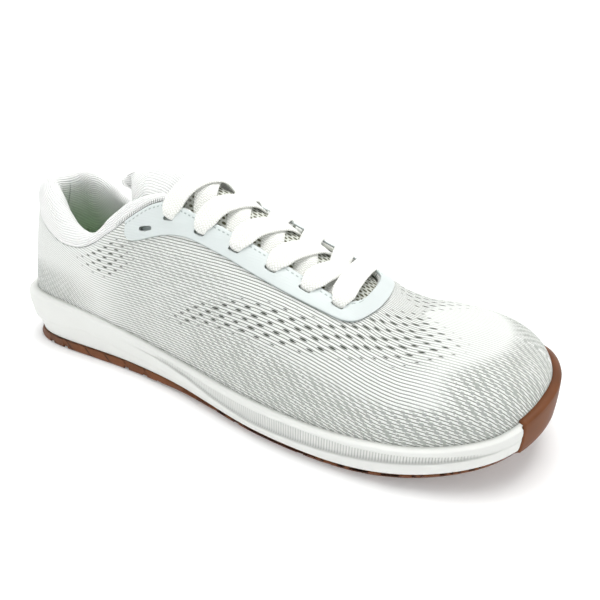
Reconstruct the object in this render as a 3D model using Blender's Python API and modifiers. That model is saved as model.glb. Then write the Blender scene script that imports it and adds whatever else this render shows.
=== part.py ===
"""A right-foot barefoot running shoe: knitted upper, cup midsole, gum outsole, padded collar and tongue.

X runs from heel to toe, +Y is the big toe's side and Z is up. The origin is the middle of the heel's
flat spot on the ground. Every piece is worked out from one last, which the tables below describe.
"""

import bmesh
import bpy
import numpy as np
from mathutils import Matrix

# The shoe's main sizes, in metres
LENGTH = 0.288
BALL_WIDTH = 0.105
INSTEP_HEIGHT = 0.098
HEEL_HEIGHT = 0.9133 * INSTEP_HEIGHT
SOLE_HEEL_HEIGHT = 0.0315
TOE_SPRING = 0.018
FLOOR_HEIGHT = 0.0095
HEEL_REST = 0.040
GAP = 0.0003
CUP_GAP = 0.0005
FILM_GAP = 0.0005

# Shares of the length where the spring starts and where the section planes fan out, and how far the
# heel leans and curves forward above the sole
SPRING_START = 0.70
HEEL_FAN = 0.14
TOE_FAN = 0.80
HEEL_LEAN = 0.50
HEEL_CURVE = 0.19
HEEL_CURVE_END = 0.30

# Walls, insets and overlays
UPPER_WALL = 0.0020
FOOT_INSET = 0.0034
EYESTAY_WALL = 0.0008
RAND_WALL = 0.0016
INSOLE_THICKNESS = 0.0040
INSOLE_INSET = 0.0072
HEEL_BEVEL = 0.0020
HEEL_BEVEL_END = 0.06
LUG_DEPTH = 0.0016
LUG_GROOVE = 0.0030
CUFF_DEPTH = 0.024
CUFF_LINING = 0.0016

# The share where the white side ends and the gum rand starts, and the length of that change
RAND_START = 0.9540
RAND_STEP = 0.0026
SOLE_COLUMNS = [0.28, 0.97] + [RAND_START + RAND_STEP * part for part in (0, 0.4, 0.5, 1)]

# Laces and their slots
LACE_WIDTH = 0.0095
LACE_THICKNESS = 0.0014
LACE_HEIGHT = 0.0024
LACE_OVER = 0.0003
LACE_UNDER = -0.0009
LACE_BAR_RISE = 0.0021
LACE_TUCK = -0.0002
LACE_TUCK_HALF_WIDTH = 0.0140
SLOT_LENGTH = 0.0052
SLOT_WIDTH = 0.0020

LATERAL, MEDIAL = -1, 1
COLUMNS = 30
QUARTER_TURN = np.pi / 2

# The sole's widest outline:
# share of length, lateral and medial half width as shares of the ball width
OUTLINE = (
    (0.000, 0.000, 0.000),
    (0.012, 0.155, 0.150),
    (0.040, 0.260, 0.242),
    (0.100, 0.324, 0.305),
    (0.180, 0.338, 0.329),
    (0.320, 0.352, 0.314),
    (0.460, 0.410, 0.333),
    (0.600, 0.490, 0.419),
    (0.700, 0.514, 0.476),
    (0.800, 0.500, 0.490),
    (0.880, 0.438, 0.462),
    (0.940, 0.338, 0.390),
    (0.985, 0.157, 0.248),
    (1.000, -0.038, 0.038),
)

# The last's sections:
# share of length, feather height / sole heel height, ridge height / instep height,
# exponent across, exponent up, ridge's shift to the medial side / ball width
SECTIONS = (
    (0.00, 1.000, 1.276, 1.80, 1.60, 0.000),
    (0.14, 0.937, 1.276, 1.80, 1.60, 0.000),
    (0.22, 0.841, 1.153, 1.95, 1.75, 0.000),
    (0.30, 0.730, 1.061, 2.15, 1.95, 0.000),
    (0.42, 0.603, 1.000, 2.25, 2.05, 0.005),
    (0.52, 0.556, 0.872, 2.25, 2.10, 0.010),
    (0.62, 0.540, 0.722, 2.20, 2.20, 0.014),
    (0.70, 0.524, 0.607, 2.30, 2.30, 0.019),
    (0.80, 0.556, 0.490, 2.40, 2.30, 0.029),
    (0.92, 0.730, 0.480, 2.80, 2.50, 0.029),
    (1.00, 1.063, 0.480, 3.10, 2.60, 0.029),
)

# The upper's top line, from the heel along the collar seam and the throat to the throat's toe end:
# share of length, angle round the section / quarter turn
TOP_LINE = (
    (0.000, 0.480),
    (0.040, 0.455),
    (0.075, 0.412),
    (0.110, 0.381),
    (0.129, 0.368),
    (0.160, 0.354),
    (0.188, 0.358),
    (0.214, 0.374),
    (0.240, 0.401),
    (0.266, 0.441),
    (0.290, 0.481),
    (0.312, 0.531),
    (0.341, 0.598),
    (0.360, 0.642),
    (0.377, 0.672),
    (0.395, 0.694),
    (0.437, 0.692),
    (0.492, 0.716),
    (0.553, 0.742),
    (0.606, 0.752),
    (0.672, 0.762),
    (0.692, 0.770),
    (0.707, 0.815),
    (0.717, 0.885),
    (0.721, 1.000),
)
THROAT_END = TOP_LINE[-1][0]

# The padded collar: share of length, rim's height / heel height, padding / instep height
COLLAR = (
    (0.000, 1.039, 0.092),
    (0.040, 1.037, 0.092),
    (0.070, 1.017, 0.090),
    (0.101, 0.978, 0.088),
    (0.125, 0.938, 0.084),
    (0.150, 0.877, 0.078),
    (0.175, 0.816, 0.070),
    (0.194, 0.788, 0.064),
    (0.215, 0.775, 0.058),
    (0.232, 0.784, 0.054),
    (0.250, 0.820, 0.050),
    (0.269, 0.877, 0.047),
    (0.291, 0.927, 0.045),
    (0.312, 0.972, 0.043),
    (0.341, 1.011, 0.041),
    (0.360, 1.028, 0.039),
    (0.377, 1.035, 0.037),
    (0.395, 1.032, 0.035),
    (0.418, 1.027, 0.030),
)

# The collar's section: inward as a share of the padding, then up as a share of the rim's height
CUFF_ABOVE = (
    (0.00, 0.03),
    (-0.10, 0.30),
    (-0.08, 0.62),
    (0.10, 0.88),
    (0.42, 1.00),
    (0.78, 0.93),
    (0.98, 0.68),
    (1.00, 0.20),
)
# Its lining inside the upper: share of the way from the lining's wall to the padding, down as a
# share of the cuff's depth
CUFF_BELOW = ((0.70, 0.30), (0.25, 0.70), (0.00, 1.00))

# The eyestay's outer edge: share of length, angle round the section / quarter turn
EYESTAY = (
    (0.3140, 0.500),
    (0.3165, 0.468),
    (0.3270, 0.455),
    (0.3480, 0.468),
    (0.3700, 0.491),
    (0.4090, 0.531),
    (0.4490, 0.558),
    (0.4850, 0.571),
    (0.5220, 0.584),
    (0.5570, 0.590),
    (0.6060, 0.604),
    (0.6390, 0.616),
    (0.6700, 0.632),
    (0.6990, 0.649),
    (0.7120, 0.672),
    (0.7230, 0.716),
    (0.7320, 0.786),
    (0.7400, 0.879),
    (0.7440, 1.000),
)
EYESTAY_MARGIN = 0.008

# The lace slots from the empty top one to the toe: share of length, half width / ball width
SLOTS = (
    (0.360, 0.233),
    (0.403, 0.214),
    (0.463, 0.229),
    (0.524, 0.234),
    (0.584, 0.234),
    (0.639, 0.233),
    (0.688, 0.222),
)

# The tongue: share of length, edge's angle / quarter turn, then depth under the last at the
# middle, depth at the edges and thickness as shares of the instep height
TONGUE = (
    (0.268, 0.640, 0.100, 0.110, 0.022),
    (0.273, 0.615, 0.072, 0.086, 0.056),
    (0.285, 0.600, 0.054, 0.072, 0.080),
    (0.310, 0.595, 0.036, 0.060, 0.086),
    (0.340, 0.592, 0.028, 0.056, 0.078),
    (0.370, 0.590, 0.027, 0.054, 0.066),
    (0.400, 0.590, 0.027, 0.055, 0.056),
    (0.435, 0.590, 0.028, 0.048, 0.046),
    (0.490, 0.610, 0.029, 0.033, 0.042),
    (0.560, 0.630, 0.030, 0.031, 0.040),
    (0.630, 0.650, 0.030, 0.031, 0.038),
    (0.690, 0.670, 0.030, 0.031, 0.034),
    (0.735, 0.720, 0.030, 0.031, 0.026),
)
TONGUE_ACROSS = (-1.0, -0.82, -0.5, -0.17, 0.17, 0.5, 0.82, 1.0)

# The midsole's side: share of length, crease height, its depth / foot inset, the ribbed band's low
# and high edges, the band's depth / foot inset, the bulge / foot inset.
# Heights are shares of the way from the gum to the feather
SIDE = (
    (0.00, 0.36, 0.42, 0.74, 0.88, 0.00, 0.36),
    (0.06, 0.36, 0.42, 0.74, 0.88, 0.00, 0.28),
    (0.13, 0.38, 0.40, 0.74, 0.88, 0.00, 0.16),
    (0.21, 0.50, 0.36, 0.76, 0.89, 0.00, 0.08),
    (0.26, 0.42, 0.32, 0.76, 0.89, 0.00, 0.03),
    (0.32, 0.35, 0.28, 0.76, 0.90, 0.04, 0.00),
    (0.39, 0.34, 0.26, 0.72, 0.90, 0.24, 0.00),
    (0.45, 0.33, 0.24, 0.62, 0.89, 0.33, 0.00),
    (0.52, 0.28, 0.12, 0.40, 0.82, 0.34, 0.00),
    (0.60, 0.20, 0.02, 0.29, 0.82, 0.34, 0.00),
    (0.68, 0.18, 0.00, 0.34, 0.87, 0.34, 0.00),
    (0.76, 0.18, 0.00, 0.43, 0.84, 0.34, 0.00),
    (0.84, 0.18, 0.00, 0.50, 0.82, 0.33, 0.00),
    (0.90, 0.18, 0.00, 0.52, 0.74, 0.26, 0.00),
    (0.94, 0.18, 0.00, 0.56, 0.72, 0.06, 0.00),
    (1.00, 0.18, 0.00, 0.56, 0.72, 0.00, 0.00),
)

# The gum's edge: share of length, top of the gum / sole heel height, lateral and medial arch lift
# in the same measure
GUM = (
    (0.00, 0.143, 0.000, 0.000),
    (0.28, 0.137, 0.000, 0.000),
    (0.34, 0.110, 0.016, 0.040),
    (0.42, 0.088, 0.032, 0.110),
    (0.50, 0.078, 0.016, 0.060),
    (0.58, 0.076, 0.000, 0.000),
    (1.00, 0.080, 0.000, 0.000),
)

# The grooves between the lugs: share of length, slant in degrees
GROOVES = (
    (0.045, 24),
    (0.085, 24),
    (0.245, 24),
    (0.290, 24),
    (0.335, 20),
    (0.510, -16),
    (0.560, -16),
    (0.610, -16),
    (0.730, -16),
    (0.780, -18),
    (0.830, -20),
    (0.880, -22),
)


def column(rows, index):
    return np.array([row[index] for row in rows], float)


def smooth_curve(x, y):
    """A natural cubic spline through the table's points."""
    x, y = np.asarray(x, float), np.asarray(y, float)
    count, step = len(x), np.diff(x)
    matrix, right = np.eye(count), np.zeros(count)
    for i in range(1, count - 1):
        matrix[i, i - 1 : i + 2] = step[i - 1], 2 * (step[i - 1] + step[i]), step[i]
        right[i] = 6 * ((y[i + 1] - y[i]) / step[i] - (y[i] - y[i - 1]) / step[i - 1])
    bend = np.linalg.solve(matrix, right)

    def value(at):
        at = np.clip(np.asarray(at, float), x[0], x[-1])
        i = np.clip(np.searchsorted(x, at) - 1, 0, count - 2)
        a, b, h = x[i + 1] - at, at - x[i], step[i]
        bent = (bend[i] * a**3 + bend[i + 1] * b**3) / (6 * h)
        return bent + (y[i] / h - bend[i] * h / 6) * a + (y[i + 1] / h - bend[i + 1] * h / 6) * b

    return value


def steady_curve(x, y):
    """A cubic through the table's points that never overshoots them."""
    x, y = np.asarray(x, float), np.asarray(y, float)
    step = np.diff(x)
    slope = np.diff(y) / step
    tangent = np.zeros(len(x))
    tangent[0], tangent[-1] = slope[0], slope[-1]
    for i in range(1, len(x) - 1):
        if slope[i - 1] * slope[i] > 0:
            w1, w2 = 2 * step[i] + step[i - 1], step[i] + 2 * step[i - 1]
            tangent[i] = (w1 + w2) / (w1 / slope[i - 1] + w2 / slope[i])

    def value(at):
        at = np.clip(np.asarray(at, float), x[0], x[-1])
        i = np.clip(np.searchsorted(x, at, side="right") - 1, 0, len(step) - 1)
        t, h = (at - x[i]) / step[i], step[i]
        start = (1 + 2 * t) * (1 - t) ** 2 * y[i] + t * (1 - t) ** 2 * h * tangent[i]
        return start + t**2 * (3 - 2 * t) * y[i + 1] + t**2 * (t - 1) * h * tangent[i + 1]

    return value


def turn_of(share):
    """Spreads the shares so that the outline is smooth round heel and toe."""
    return np.arccos(np.clip(1 - 2 * np.asarray(share, float), -1, 1)) / np.pi


def share_of(turn):
    return (1 - np.cos(np.pi * np.asarray(turn, float))) / 2


HALF_WIDTH = {
    LATERAL: smooth_curve(turn_of(column(OUTLINE, 0)), column(OUTLINE, 1) * BALL_WIDTH),
    MEDIAL: smooth_curve(turn_of(column(OUTLINE, 0)), column(OUTLINE, 2) * BALL_WIDTH),
}
feather = steady_curve(column(SECTIONS, 0), column(SECTIONS, 1) * SOLE_HEEL_HEIGHT)
ridge = steady_curve(column(SECTIONS, 0), column(SECTIONS, 2) * INSTEP_HEIGHT)
power_across = steady_curve(column(SECTIONS, 0), column(SECTIONS, 3))
power_up = steady_curve(column(SECTIONS, 0), column(SECTIONS, 4))
ridge_shift = steady_curve(column(SECTIONS, 0), column(SECTIONS, 5) * BALL_WIDTH)
top_line = steady_curve(column(TOP_LINE, 0), column(TOP_LINE, 1) * QUARTER_TURN)


def half_width(turn, side):
    return np.where(np.asarray(side) < 0, HALF_WIDTH[LATERAL](turn), HALF_WIDTH[MEDIAL](turn))


def edge(share, side, inset):
    """A point of the sole's outline in plan, moved inward by the inset."""
    turn, step = turn_of(share), 1e-3
    before, after = np.clip(turn - step, 0, 1), np.clip(turn + step, 0, 1)
    along = LENGTH * (share_of(after) - share_of(before))
    out = side * (half_width(after, side) - half_width(before, side))
    size = np.hypot(along, out)
    x = LENGTH * share_of(turn) - HEEL_REST + out * side / size * inset
    return x, side * half_width(turn, side) - along * side / size * inset


def spine(share):
    at = np.clip(share, HEEL_FAN, TOE_FAN)
    return LENGTH * at - HEEL_REST, ridge_shift(at)


def spring(share):
    return TOE_SPRING * np.clip((share - SPRING_START) / (1 - SPRING_START), 0, 1) ** 2


def ground(share, side, inward=0.0):
    """The outsole's underside: bevelled heel, lifted arch and toe spring."""
    bevel = HEEL_BEVEL * np.clip(1 - share / HEEL_BEVEL_END, 0, 1) ** 2 * (1 - inward)
    lifts = [steady_curve(column(GUM, 0), column(GUM, k) * SOLE_HEEL_HEIGHT)(share) for k in (2, 3)]
    own = np.where(np.asarray(side) < 0, lifts[0], lifts[1])
    return spring(share) + bevel + own * (1 - inward) + np.mean(lifts, axis=0) * inward


def gum_top(share, side, inward=0.0):
    thickness = steady_curve(column(GUM, 0), column(GUM, 1) * SOLE_HEEL_HEIGHT)(share)
    bevel = HEEL_BEVEL * np.clip(1 - share / HEEL_BEVEL_END, 0, 1) ** 2 * (1 - inward)
    return ground(share, side, inward) + thickness - bevel


def skin(share, side, angle):
    """The upper's outer surface. The angle runs from 0 at the foot to a quarter turn at the ridge."""
    px, py = edge(share, side, FOOT_INSET)
    kx, ky = spine(share)
    base = FLOOR_HEIGHT + spring(share)
    across = 1 - np.cos(angle) ** (2 / power_across(share))
    up = np.sin(angle) ** (2 / power_up(share))
    lean = HEEL_LEAN + (1 - HEEL_LEAN) * np.clip(share / HEEL_FAN, 0, 1) ** 2
    z = base + (ridge(np.clip(share, HEEL_FAN, TOE_FAN)) - base) * up
    curve = HEEL_CURVE * np.clip(1 - share / HEEL_CURVE_END, 0, 1)
    x = px + (kx - px) * across * lean + curve * np.maximum(z - SOLE_HEEL_HEIGHT, 0)
    return np.stack(np.broadcast_arrays(x, py + (ky - py) * across, z), -1)


def normal(share, side, angle):
    """The outward direction of the skin."""
    turn = np.clip(turn_of(share), 2e-3, 1 - 2e-3)
    angle = np.clip(angle, 0.01, QUARTER_TURN - 0.06)
    along = skin(share_of(turn + 1e-3), side, angle) - skin(share_of(turn - 1e-3), side, angle)
    up = skin(share_of(turn), side, angle + 5e-3) - skin(share_of(turn), side, angle - 5e-3)
    out = np.cross(along, up) * -np.asarray(side, float)[..., None]
    return out / np.linalg.norm(out, axis=-1, keepdims=True)


def layer(share, side, angle, depth):
    """The skin moved inward by the depth."""
    share, side, angle, depth = np.broadcast_arrays(share, side, angle, depth)
    ridge_blend = np.clip((angle / QUARTER_TURN - 0.93) / 0.07, 0, 1)[..., None]
    out = normal(share, side, angle)
    ahead = normal(share, -side, angle)
    out = out * (1 - ridge_blend / 2) + ahead * ridge_blend / 2
    out = out / np.linalg.norm(out, axis=-1, keepdims=True)
    return skin(share, side, angle) - out * depth[..., None]


def angle_at_height(share, height):
    base = FLOOR_HEIGHT + spring(share)
    top = ridge(np.clip(share, HEEL_FAN, TOE_FAN))
    return np.arcsin(np.clip((height - base) / (top - base), 0, 1) ** (power_up(share) / 2))


def angle_at_width(share, y):
    """The side and angle of the skin's point at this share and y, between the two fans."""
    middle = ridge_shift(share)
    side = np.where(y < middle, LATERAL, MEDIAL)
    reach = np.abs(edge(share, side, FOOT_INSET)[1] - middle)
    rest = np.clip(np.abs(y - middle) / reach, 0, 1)
    return side, np.arccos(rest ** (power_across(share) / 2))


def new_object(name, mesh, colour, roughness):
    obj = bpy.data.objects.new(name, mesh)
    shoe.objects.link(obj)
    material = bpy.data.materials.new(name)
    material.use_nodes = True
    surface = material.node_tree.nodes["Principled BSDF"]
    surface.inputs["Base Color"].default_value = (*colour, 1)
    surface.inputs["Roughness"].default_value = roughness
    mesh.materials.append(material)
    return obj


def closed_mesh(name, rows, ring=True):
    """A mesh from rows of points. Points that meet are joined, and flat faces left over removed."""
    grid = np.array(rows)
    height, width = grid.shape[:2]
    form = bmesh.new()
    points = [form.verts.new(p) for p in grid.reshape(-1, 3)]
    for i in range(height - 1):
        for j in range(width if ring else width - 1):
            k = (j + 1) % width
            low, high = i * width, (i + 1) * width
            form.faces.new([points[low + j], points[low + k], points[high + k], points[high + j]])
    return finish(name, form)


def finish(name, form):
    bmesh.ops.remove_doubles(form, verts=form.verts, dist=1e-6)
    bmesh.ops.dissolve_degenerate(form, edges=form.edges, dist=1e-6)
    bmesh.ops.recalc_face_normals(form, faces=form.faces)
    mesh = bpy.data.meshes.new(name)
    form.to_mesh(mesh)
    form.free()
    for polygon in mesh.polygons:
        polygon.use_smooth = True
    return mesh


def sheet(name, outer, inner):
    """A closed solid between two grids that match point for point."""
    height, width = outer.shape[:2]
    form = bmesh.new()
    sides = [[form.verts.new(p) for p in grid.reshape(-1, 3)] for grid in (outer, inner)]
    for points, order in zip(sides, (1, -1)):
        for i in range(height - 1):
            for j in range(width - 1):
                k = i * width + j
                corners = [points[k], points[k + 1], points[k + width + 1], points[k + width]]
                form.faces.new(corners[::order])
    border = [(0, j) for j in range(width)] + [(i, width - 1) for i in range(1, height)]
    border += [(height - 1, j) for j in range(width - 2, -1, -1)]
    border += [(i, 0) for i in range(height - 2, 0, -1)]
    for a, b in zip(border, border[1:] + border[:1]):
        a, b = a[0] * width + a[1], b[0] * width + b[1]
        form.faces.new([sides[0][b], sides[0][a], sides[1][a], sides[1][b]])
    return finish(name, form)


def ring_columns(extra):
    """Shares and sides of the columns right round the shoe, lateral side first."""
    shares = np.sort(np.concatenate([share_of(np.linspace(0, 1, COLUMNS)), extra]))
    keep = [0]
    for i in range(1, len(shares)):
        near = min(abs(shares[i] - np.array(extra)))
        close = shares[i] - shares[keep[-1]] < 0.0045 and near > 1e-9
        ahead = near > 1e-9 and min(abs(shares[i] - np.array(extra))) < 0.0045
        if not (close or (ahead and 0.02 < shares[i] < 0.98)):
            keep.append(i)
    shares = shares[keep]
    return (
        np.concatenate([shares, shares[-2:0:-1]]),
        np.concatenate([np.full(len(shares), LATERAL), np.full(len(shares) - 2, MEDIAL)]),
    )


def plan_row(share, side, inset, inward, height):
    """A row of points in plan, moved from the outline's edge toward the spine.

    The height is a number for each point, or a function of the point's own share, side and inward.
    """
    px, py = edge(share, side, inset)
    kx, ky = spine(share)
    x, y = px + (kx - px) * inward, py + (ky - py) * inward
    if callable(height):
        at = share if inward == 0 else (x + HEEL_REST) / LENGTH
        height = height(at, side, inward)
    return np.stack(np.broadcast_arrays(x, y, height), -1)


def floor_under(share, side=None, inward=0.0):
    """The midsole's floor, just under the insole and the upper's foot."""
    return FLOOR_HEIGHT - GAP + spring(share)


def boolean(obj, cutter, operation="DIFFERENCE"):
    modifier = obj.modifiers.new(operation.title(), "BOOLEAN")
    modifier.operation = operation
    modifier.solver = "EXACT"
    modifier.object = cutter
    return modifier


UPPER_COLUMNS = [0.040, 0.110, 0.160, 0.194, 0.240, 0.291, 0.341, 0.395, 0.692, 0.707, 0.717, THROAT_END]


def make_upper():
    """One hollow shell from the foot to the collar seam and the throat's edge, open underneath."""
    share, side = ring_columns(UPPER_COLUMNS)
    top = np.where(share >= THROAT_END, QUARTER_TURN, top_line(share))
    calm = np.where(share < 0.692, top_line(share), top_line(0.692))
    calm = calm + (QUARTER_TURN - calm) * np.clip((share - 0.692) / 0.16, 0, 1)
    rows = []
    for row in (0, 0.12, 0.26, 0.4, 0.55, 0.7, 0.85, 1):
        follow = np.clip((row - 0.6) / 0.4, 0, 1)
        rows.append(skin(share, side, row * (calm + (top - calm) * follow)))
    mesh = closed_mesh("upper", rows)
    obj = new_object("upper", mesh, (0.80, 0.82, 0.80), 0.85)
    wall = obj.modifiers.new("Wall", "SOLIDIFY")
    wall.thickness = UPPER_WALL
    wall.offset = -1
    wall.use_even_offset = True
    return obj


def side_heights(share, side):
    """The midsole side's rows: inset and height, from the gum up to the feather."""
    get = [steady_curve(column(SIDE, 0), column(SIDE, k))(share) for k in range(1, 7)]
    crease, crease_depth, low, high, band_depth, bulge = get
    low_z, top_z = gum_top(share, side) + CUP_GAP, feather(share)
    retreat = np.clip((share - RAND_START) / (RAND_STEP * 0.4), 0, 1)
    table = (
        (0.00, 0.34 + crease_depth * 0.6),
        (crease * 0.45, 0.06 + crease_depth),
        (crease * 0.94, 0.04 + crease_depth),
        (crease * 1.04, 0.02 - bulge * 0.6),
        (low - 0.015, -bulge),
        (low + 0.015, band_depth - bulge),
        (high - 0.015, band_depth - bulge * 0.8),
        (high + 0.015, 0.03 - bulge * 0.6),
        (0.5 * high + 0.5, 0.08 - bulge * 0.4),
    )
    rows = []
    for height, inset in table:
        hidden = RAND_WALL + GAP
        inset = inset * FOOT_INSET * (1 - retreat) + hidden * retreat
        rows.append((inset, low_z + (top_z - low_z) * height))
    lip = 0.36 * FOOT_INSET * (1 - retreat) + (RAND_WALL + GAP) * retreat
    rows.append((lip, top_z + 0.0 * share))
    return rows


def midsole_under(share, side, inward=0.0):
    return gum_top(share, side, inward) + CUP_GAP


def make_midsole():
    """A cup with the floor the foot stands on and a side wall up to the feather."""
    share, side = ring_columns(SOLE_COLUMNS)
    rows = [plan_row(share, side, 0, inward, midsole_under) for inward in (1.0, 0.7, 0.35)]
    rows += [plan_row(share, side, inset, 0, z) for inset, z in side_heights(share, side)]
    top = angle_at_height(share, feather(share))
    rows += [layer(share, side, top * row, -CUP_GAP) for row in (1, 0.5, 0)]
    rows[-1][:, 2] = floor_under(share)
    rows += [plan_row(share, side, FOOT_INSET, inward, floor_under) for inward in (0.35, 0.7, 1.0)]
    mesh = closed_mesh("midsole", rows)
    return new_object("midsole", mesh, (0.86, 0.87, 0.85), 0.6)


def make_outsole():
    """A gum plate with lugs, which wraps up over the toe as a rand."""
    start = RAND_START + RAND_STEP * 0.5
    share, side = ring_columns(SOLE_COLUMNS)
    rise = np.clip((share - start) / (RAND_STEP * 0.5), 0, 1)
    plate, low = gum_top(share, side), ground(share, side)
    top = plate + (feather(share) + 2 * GAP - plate) * rise
    outer = 0.34 * FOOT_INSET * (1 - rise)
    back = np.clip(1 - share / 0.05, 0, 1)
    rows = [plan_row(share, side, 0, inward, ground) for inward in (1.0, 0.7, 0.35)]
    rows += [
        plan_row(share, side, 0.88 * FOOT_INSET * (1 - 0.7 * back), 0, low),
        plan_row(share, side, 0.45 * FOOT_INSET * (1 - 0.7 * back), 0, low + (plate - low) * 0.3),
        plan_row(share, side, outer, 0, plate - (plate - low) * 0.15 + (top - plate) * 0.5),
        plan_row(share, side, outer + (0.08 + 0.18 * rise) * FOOT_INSET, 0, top),
        plan_row(share, side, RAND_WALL, 0, top),
        plan_row(share, side, RAND_WALL, 0, plate),
    ]
    rows += [plan_row(share, side, 0, inward, gum_top) for inward in (0.35, 0.7, 1.0)]
    mesh = closed_mesh("outsole", rows)
    obj = new_object("outsole", mesh, (0.33, 0.17, 0.09), 0.55)
    boolean(obj, make_groove_cutter())
    return obj


def make_groove_cutter():
    form = bmesh.new()
    for share, slant in GROOVES:
        slope = np.arctan2(spring(share + 0.01) - spring(share - 0.01), 0.02 * LENGTH)
        for side in (LATERAL, MEDIAL):
            place = Matrix.Translation((LENGTH * share - HEEL_REST, 0, spring(share)))
            place = place @ Matrix.Rotation(-slope, 4, "Y")
            place = place @ Matrix.Rotation(np.radians(slant * -side), 4, "Z")
            size = Matrix.Diagonal((LUG_GROOVE, BALL_WIDTH * 0.62, 2 * LUG_DEPTH, 1))
            shift = Matrix.Translation((0, side * BALL_WIDTH * 0.36, 0))
            bmesh.ops.create_cube(form, size=1, matrix=place @ shift @ size)
    return cutter_object("groove_cutter", form)


def cutter_object(name, form):
    mesh = bpy.data.meshes.new(name)
    form.to_mesh(mesh)
    form.free()
    obj = bpy.data.objects.new(name, mesh)
    obj.display_type = "WIRE"
    obj.hide_render = True
    cutters.objects.link(obj)
    return obj


# The insole's section: inset / its thickness, share of the way to the spine, height / thickness
INSOLE_ROWS = (
    (0.00, 1.00, 0.0),
    (0.00, 0.50, 0.0),
    (0.10, 0.00, 0.0),
    (0.00, 0.00, 0.3),
    (0.15, 0.00, 1.0),
    (0.00, 0.50, 1.0),
    (0.00, 1.00, 1.0),
)


def make_insole():
    share, side = ring_columns([0.28, 0.97])
    rows = []
    for inset, inward, rise in INSOLE_ROWS:

        def height(at, side, inward, rise=rise):
            return floor_under(at) + GAP + rise * INSOLE_THICKNESS

        rows.append(plan_row(share, side, INSOLE_INSET + inset * INSOLE_THICKNESS, inward, height))
    mesh = closed_mesh("insole", rows)
    return new_object("insole", mesh, (0.55, 0.68, 0.58), 0.9)


def make_collar():
    """The padded cuff: it stands on the collar seam, rolls over and lines the inside of the wall."""
    rim = steady_curve(column(COLLAR, 0), column(COLLAR, 1) * HEEL_HEIGHT)
    padding = steady_curve(column(COLLAR, 0), column(COLLAR, 2) * INSTEP_HEIGHT)
    end = COLLAR[-1][0]
    shares = ring_columns(UPPER_COLUMNS)[0]
    shares = np.unique(np.append(shares[shares < end - 0.004], end))
    share = np.concatenate([shares[:0:-1], shares])
    side = np.concatenate([np.full(len(shares) - 1, LATERAL), np.full(len(shares), MEDIAL)])
    seam = top_line(share)
    seam_height = skin(share, side, seam)[:, 2]
    pad, rise = padding(share), rim(share) - seam_height
    step = 0.02
    length = skin(share, side, seam + step) - skin(share, side, seam - step)
    rate = 2 * step / np.linalg.norm(length, axis=-1)
    wall = UPPER_WALL + CUP_GAP
    fade = np.clip((end - share) / 0.10, 0.30, 1)
    rows = []
    for inward, up in CUFF_ABOVE:
        angle = angle_at_height(share, seam_height + np.maximum(up * rise, GAP))
        rows.append(layer(share, side, np.maximum(angle, seam + GAP * rate), inward * pad))
    for inward, down in CUFF_BELOW:
        depth = wall + CUFF_LINING + (np.maximum(pad - wall - CUFF_LINING, 0)) * inward
        rows.append(layer(share, side, seam - down * CUFF_DEPTH * fade * rate, depth))
    for down in (1.0, 0.5, 0.0):
        rows.append(layer(share, side, seam - down * CUFF_DEPTH * fade * rate, wall))
    rows.append(layer(share, side, seam + GAP * rate, wall))
    grid = np.array(rows).transpose(1, 0, 2)
    form = bmesh.new()
    count, width = grid.shape[:2]
    points = [form.verts.new(p) for p in grid.reshape(-1, 3)]
    for i in range(count - 1):
        for j in range(width):
            k, low, high = (j + 1) % width, i * width, (i + 1) * width
            form.faces.new([points[low + j], points[low + k], points[high + k], points[high + j]])
    form.faces.new(points[:width])
    form.faces.new(points[-width:][::-1])
    mesh = finish("collar", form)
    return new_object("collar", mesh, (0.84, 0.86, 0.85), 0.9)


def make_tongue():
    """A padded tongue that follows the last just under the throat and stands out at the collar."""
    share = column(TONGUE, 0)
    edge_angle, middle_depth, edge_depth, thickness = (column(TONGUE, k) for k in range(1, 5))
    across = np.array(TONGUE_ACROSS)
    side = np.where(across < 0, LATERAL, MEDIAL)
    angle = QUARTER_TURN * (1 - (1 - edge_angle[:, None]) * np.abs(across))
    grids = []
    for under in (0, 1):
        thin = 1 - 0.55 * across**4
        depth = middle_depth[:, None] + (edge_depth - middle_depth)[:, None] * across**2
        depth = (depth + under * thickness[:, None] * thin) * INSTEP_HEIGHT
        grids.append(layer(share[:, None], side, angle, depth))
    mesh = sheet("tongue", *grids)
    return new_object("tongue", mesh, (0.84, 0.86, 0.85), 0.9)


def make_eyestay():
    """A welded film over both sides of the throat, joined round its toe end."""
    outer_edge = steady_curve(column(EYESTAY, 0), column(EYESTAY, 1) * QUARTER_TURN)
    shares = column(EYESTAY, 0)
    shares = np.sort(np.append(shares[:-1], [0.385, 0.707, 0.717, THROAT_END]))
    low = outer_edge(shares)
    high = np.where(shares >= THROAT_END - 1e-9, QUARTER_TURN, top_line(shares) * (1 - EYESTAY_MARGIN))
    across = np.array([0, 0.34, 0.67, 1.0])
    angle = low[:, None] + np.maximum(high - low, 0)[:, None] * across
    form = bmesh.new()
    faces = []
    for side in (LATERAL, MEDIAL):
        tip_side = np.full(angle.shape, side)
        grid = layer(shares[:, None], tip_side, angle, -(FILM_GAP + EYESTAY_WALL))
        points = [[form.verts.new(p) for p in row] for row in grid]
        tip_share = np.array([EYESTAY[-1][0]])
        tip_point = layer(tip_share, np.array([side]), np.array([QUARTER_TURN]), -(FILM_GAP + EYESTAY_WALL))
        tip = form.verts.new(tip_point[0])
        for i in range(len(points) - 1):
            for j in range(len(across) - 1):
                corners = [points[i][j], points[i + 1][j], points[i + 1][j + 1], points[i][j + 1]]
                faces.append(form.faces.new(corners))
        for j in range(len(across) - 1):
            form.faces.new([points[-1][j], tip, points[-1][j + 1]])
    mesh = finish("eyestay", form)
    obj = new_object("eyestay", mesh, (0.66, 0.73, 0.73), 0.5)
    wall = obj.modifiers.new("Film", "SOLIDIFY")
    wall.thickness = EYESTAY_WALL
    wall.offset = -1
    return obj


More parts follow.
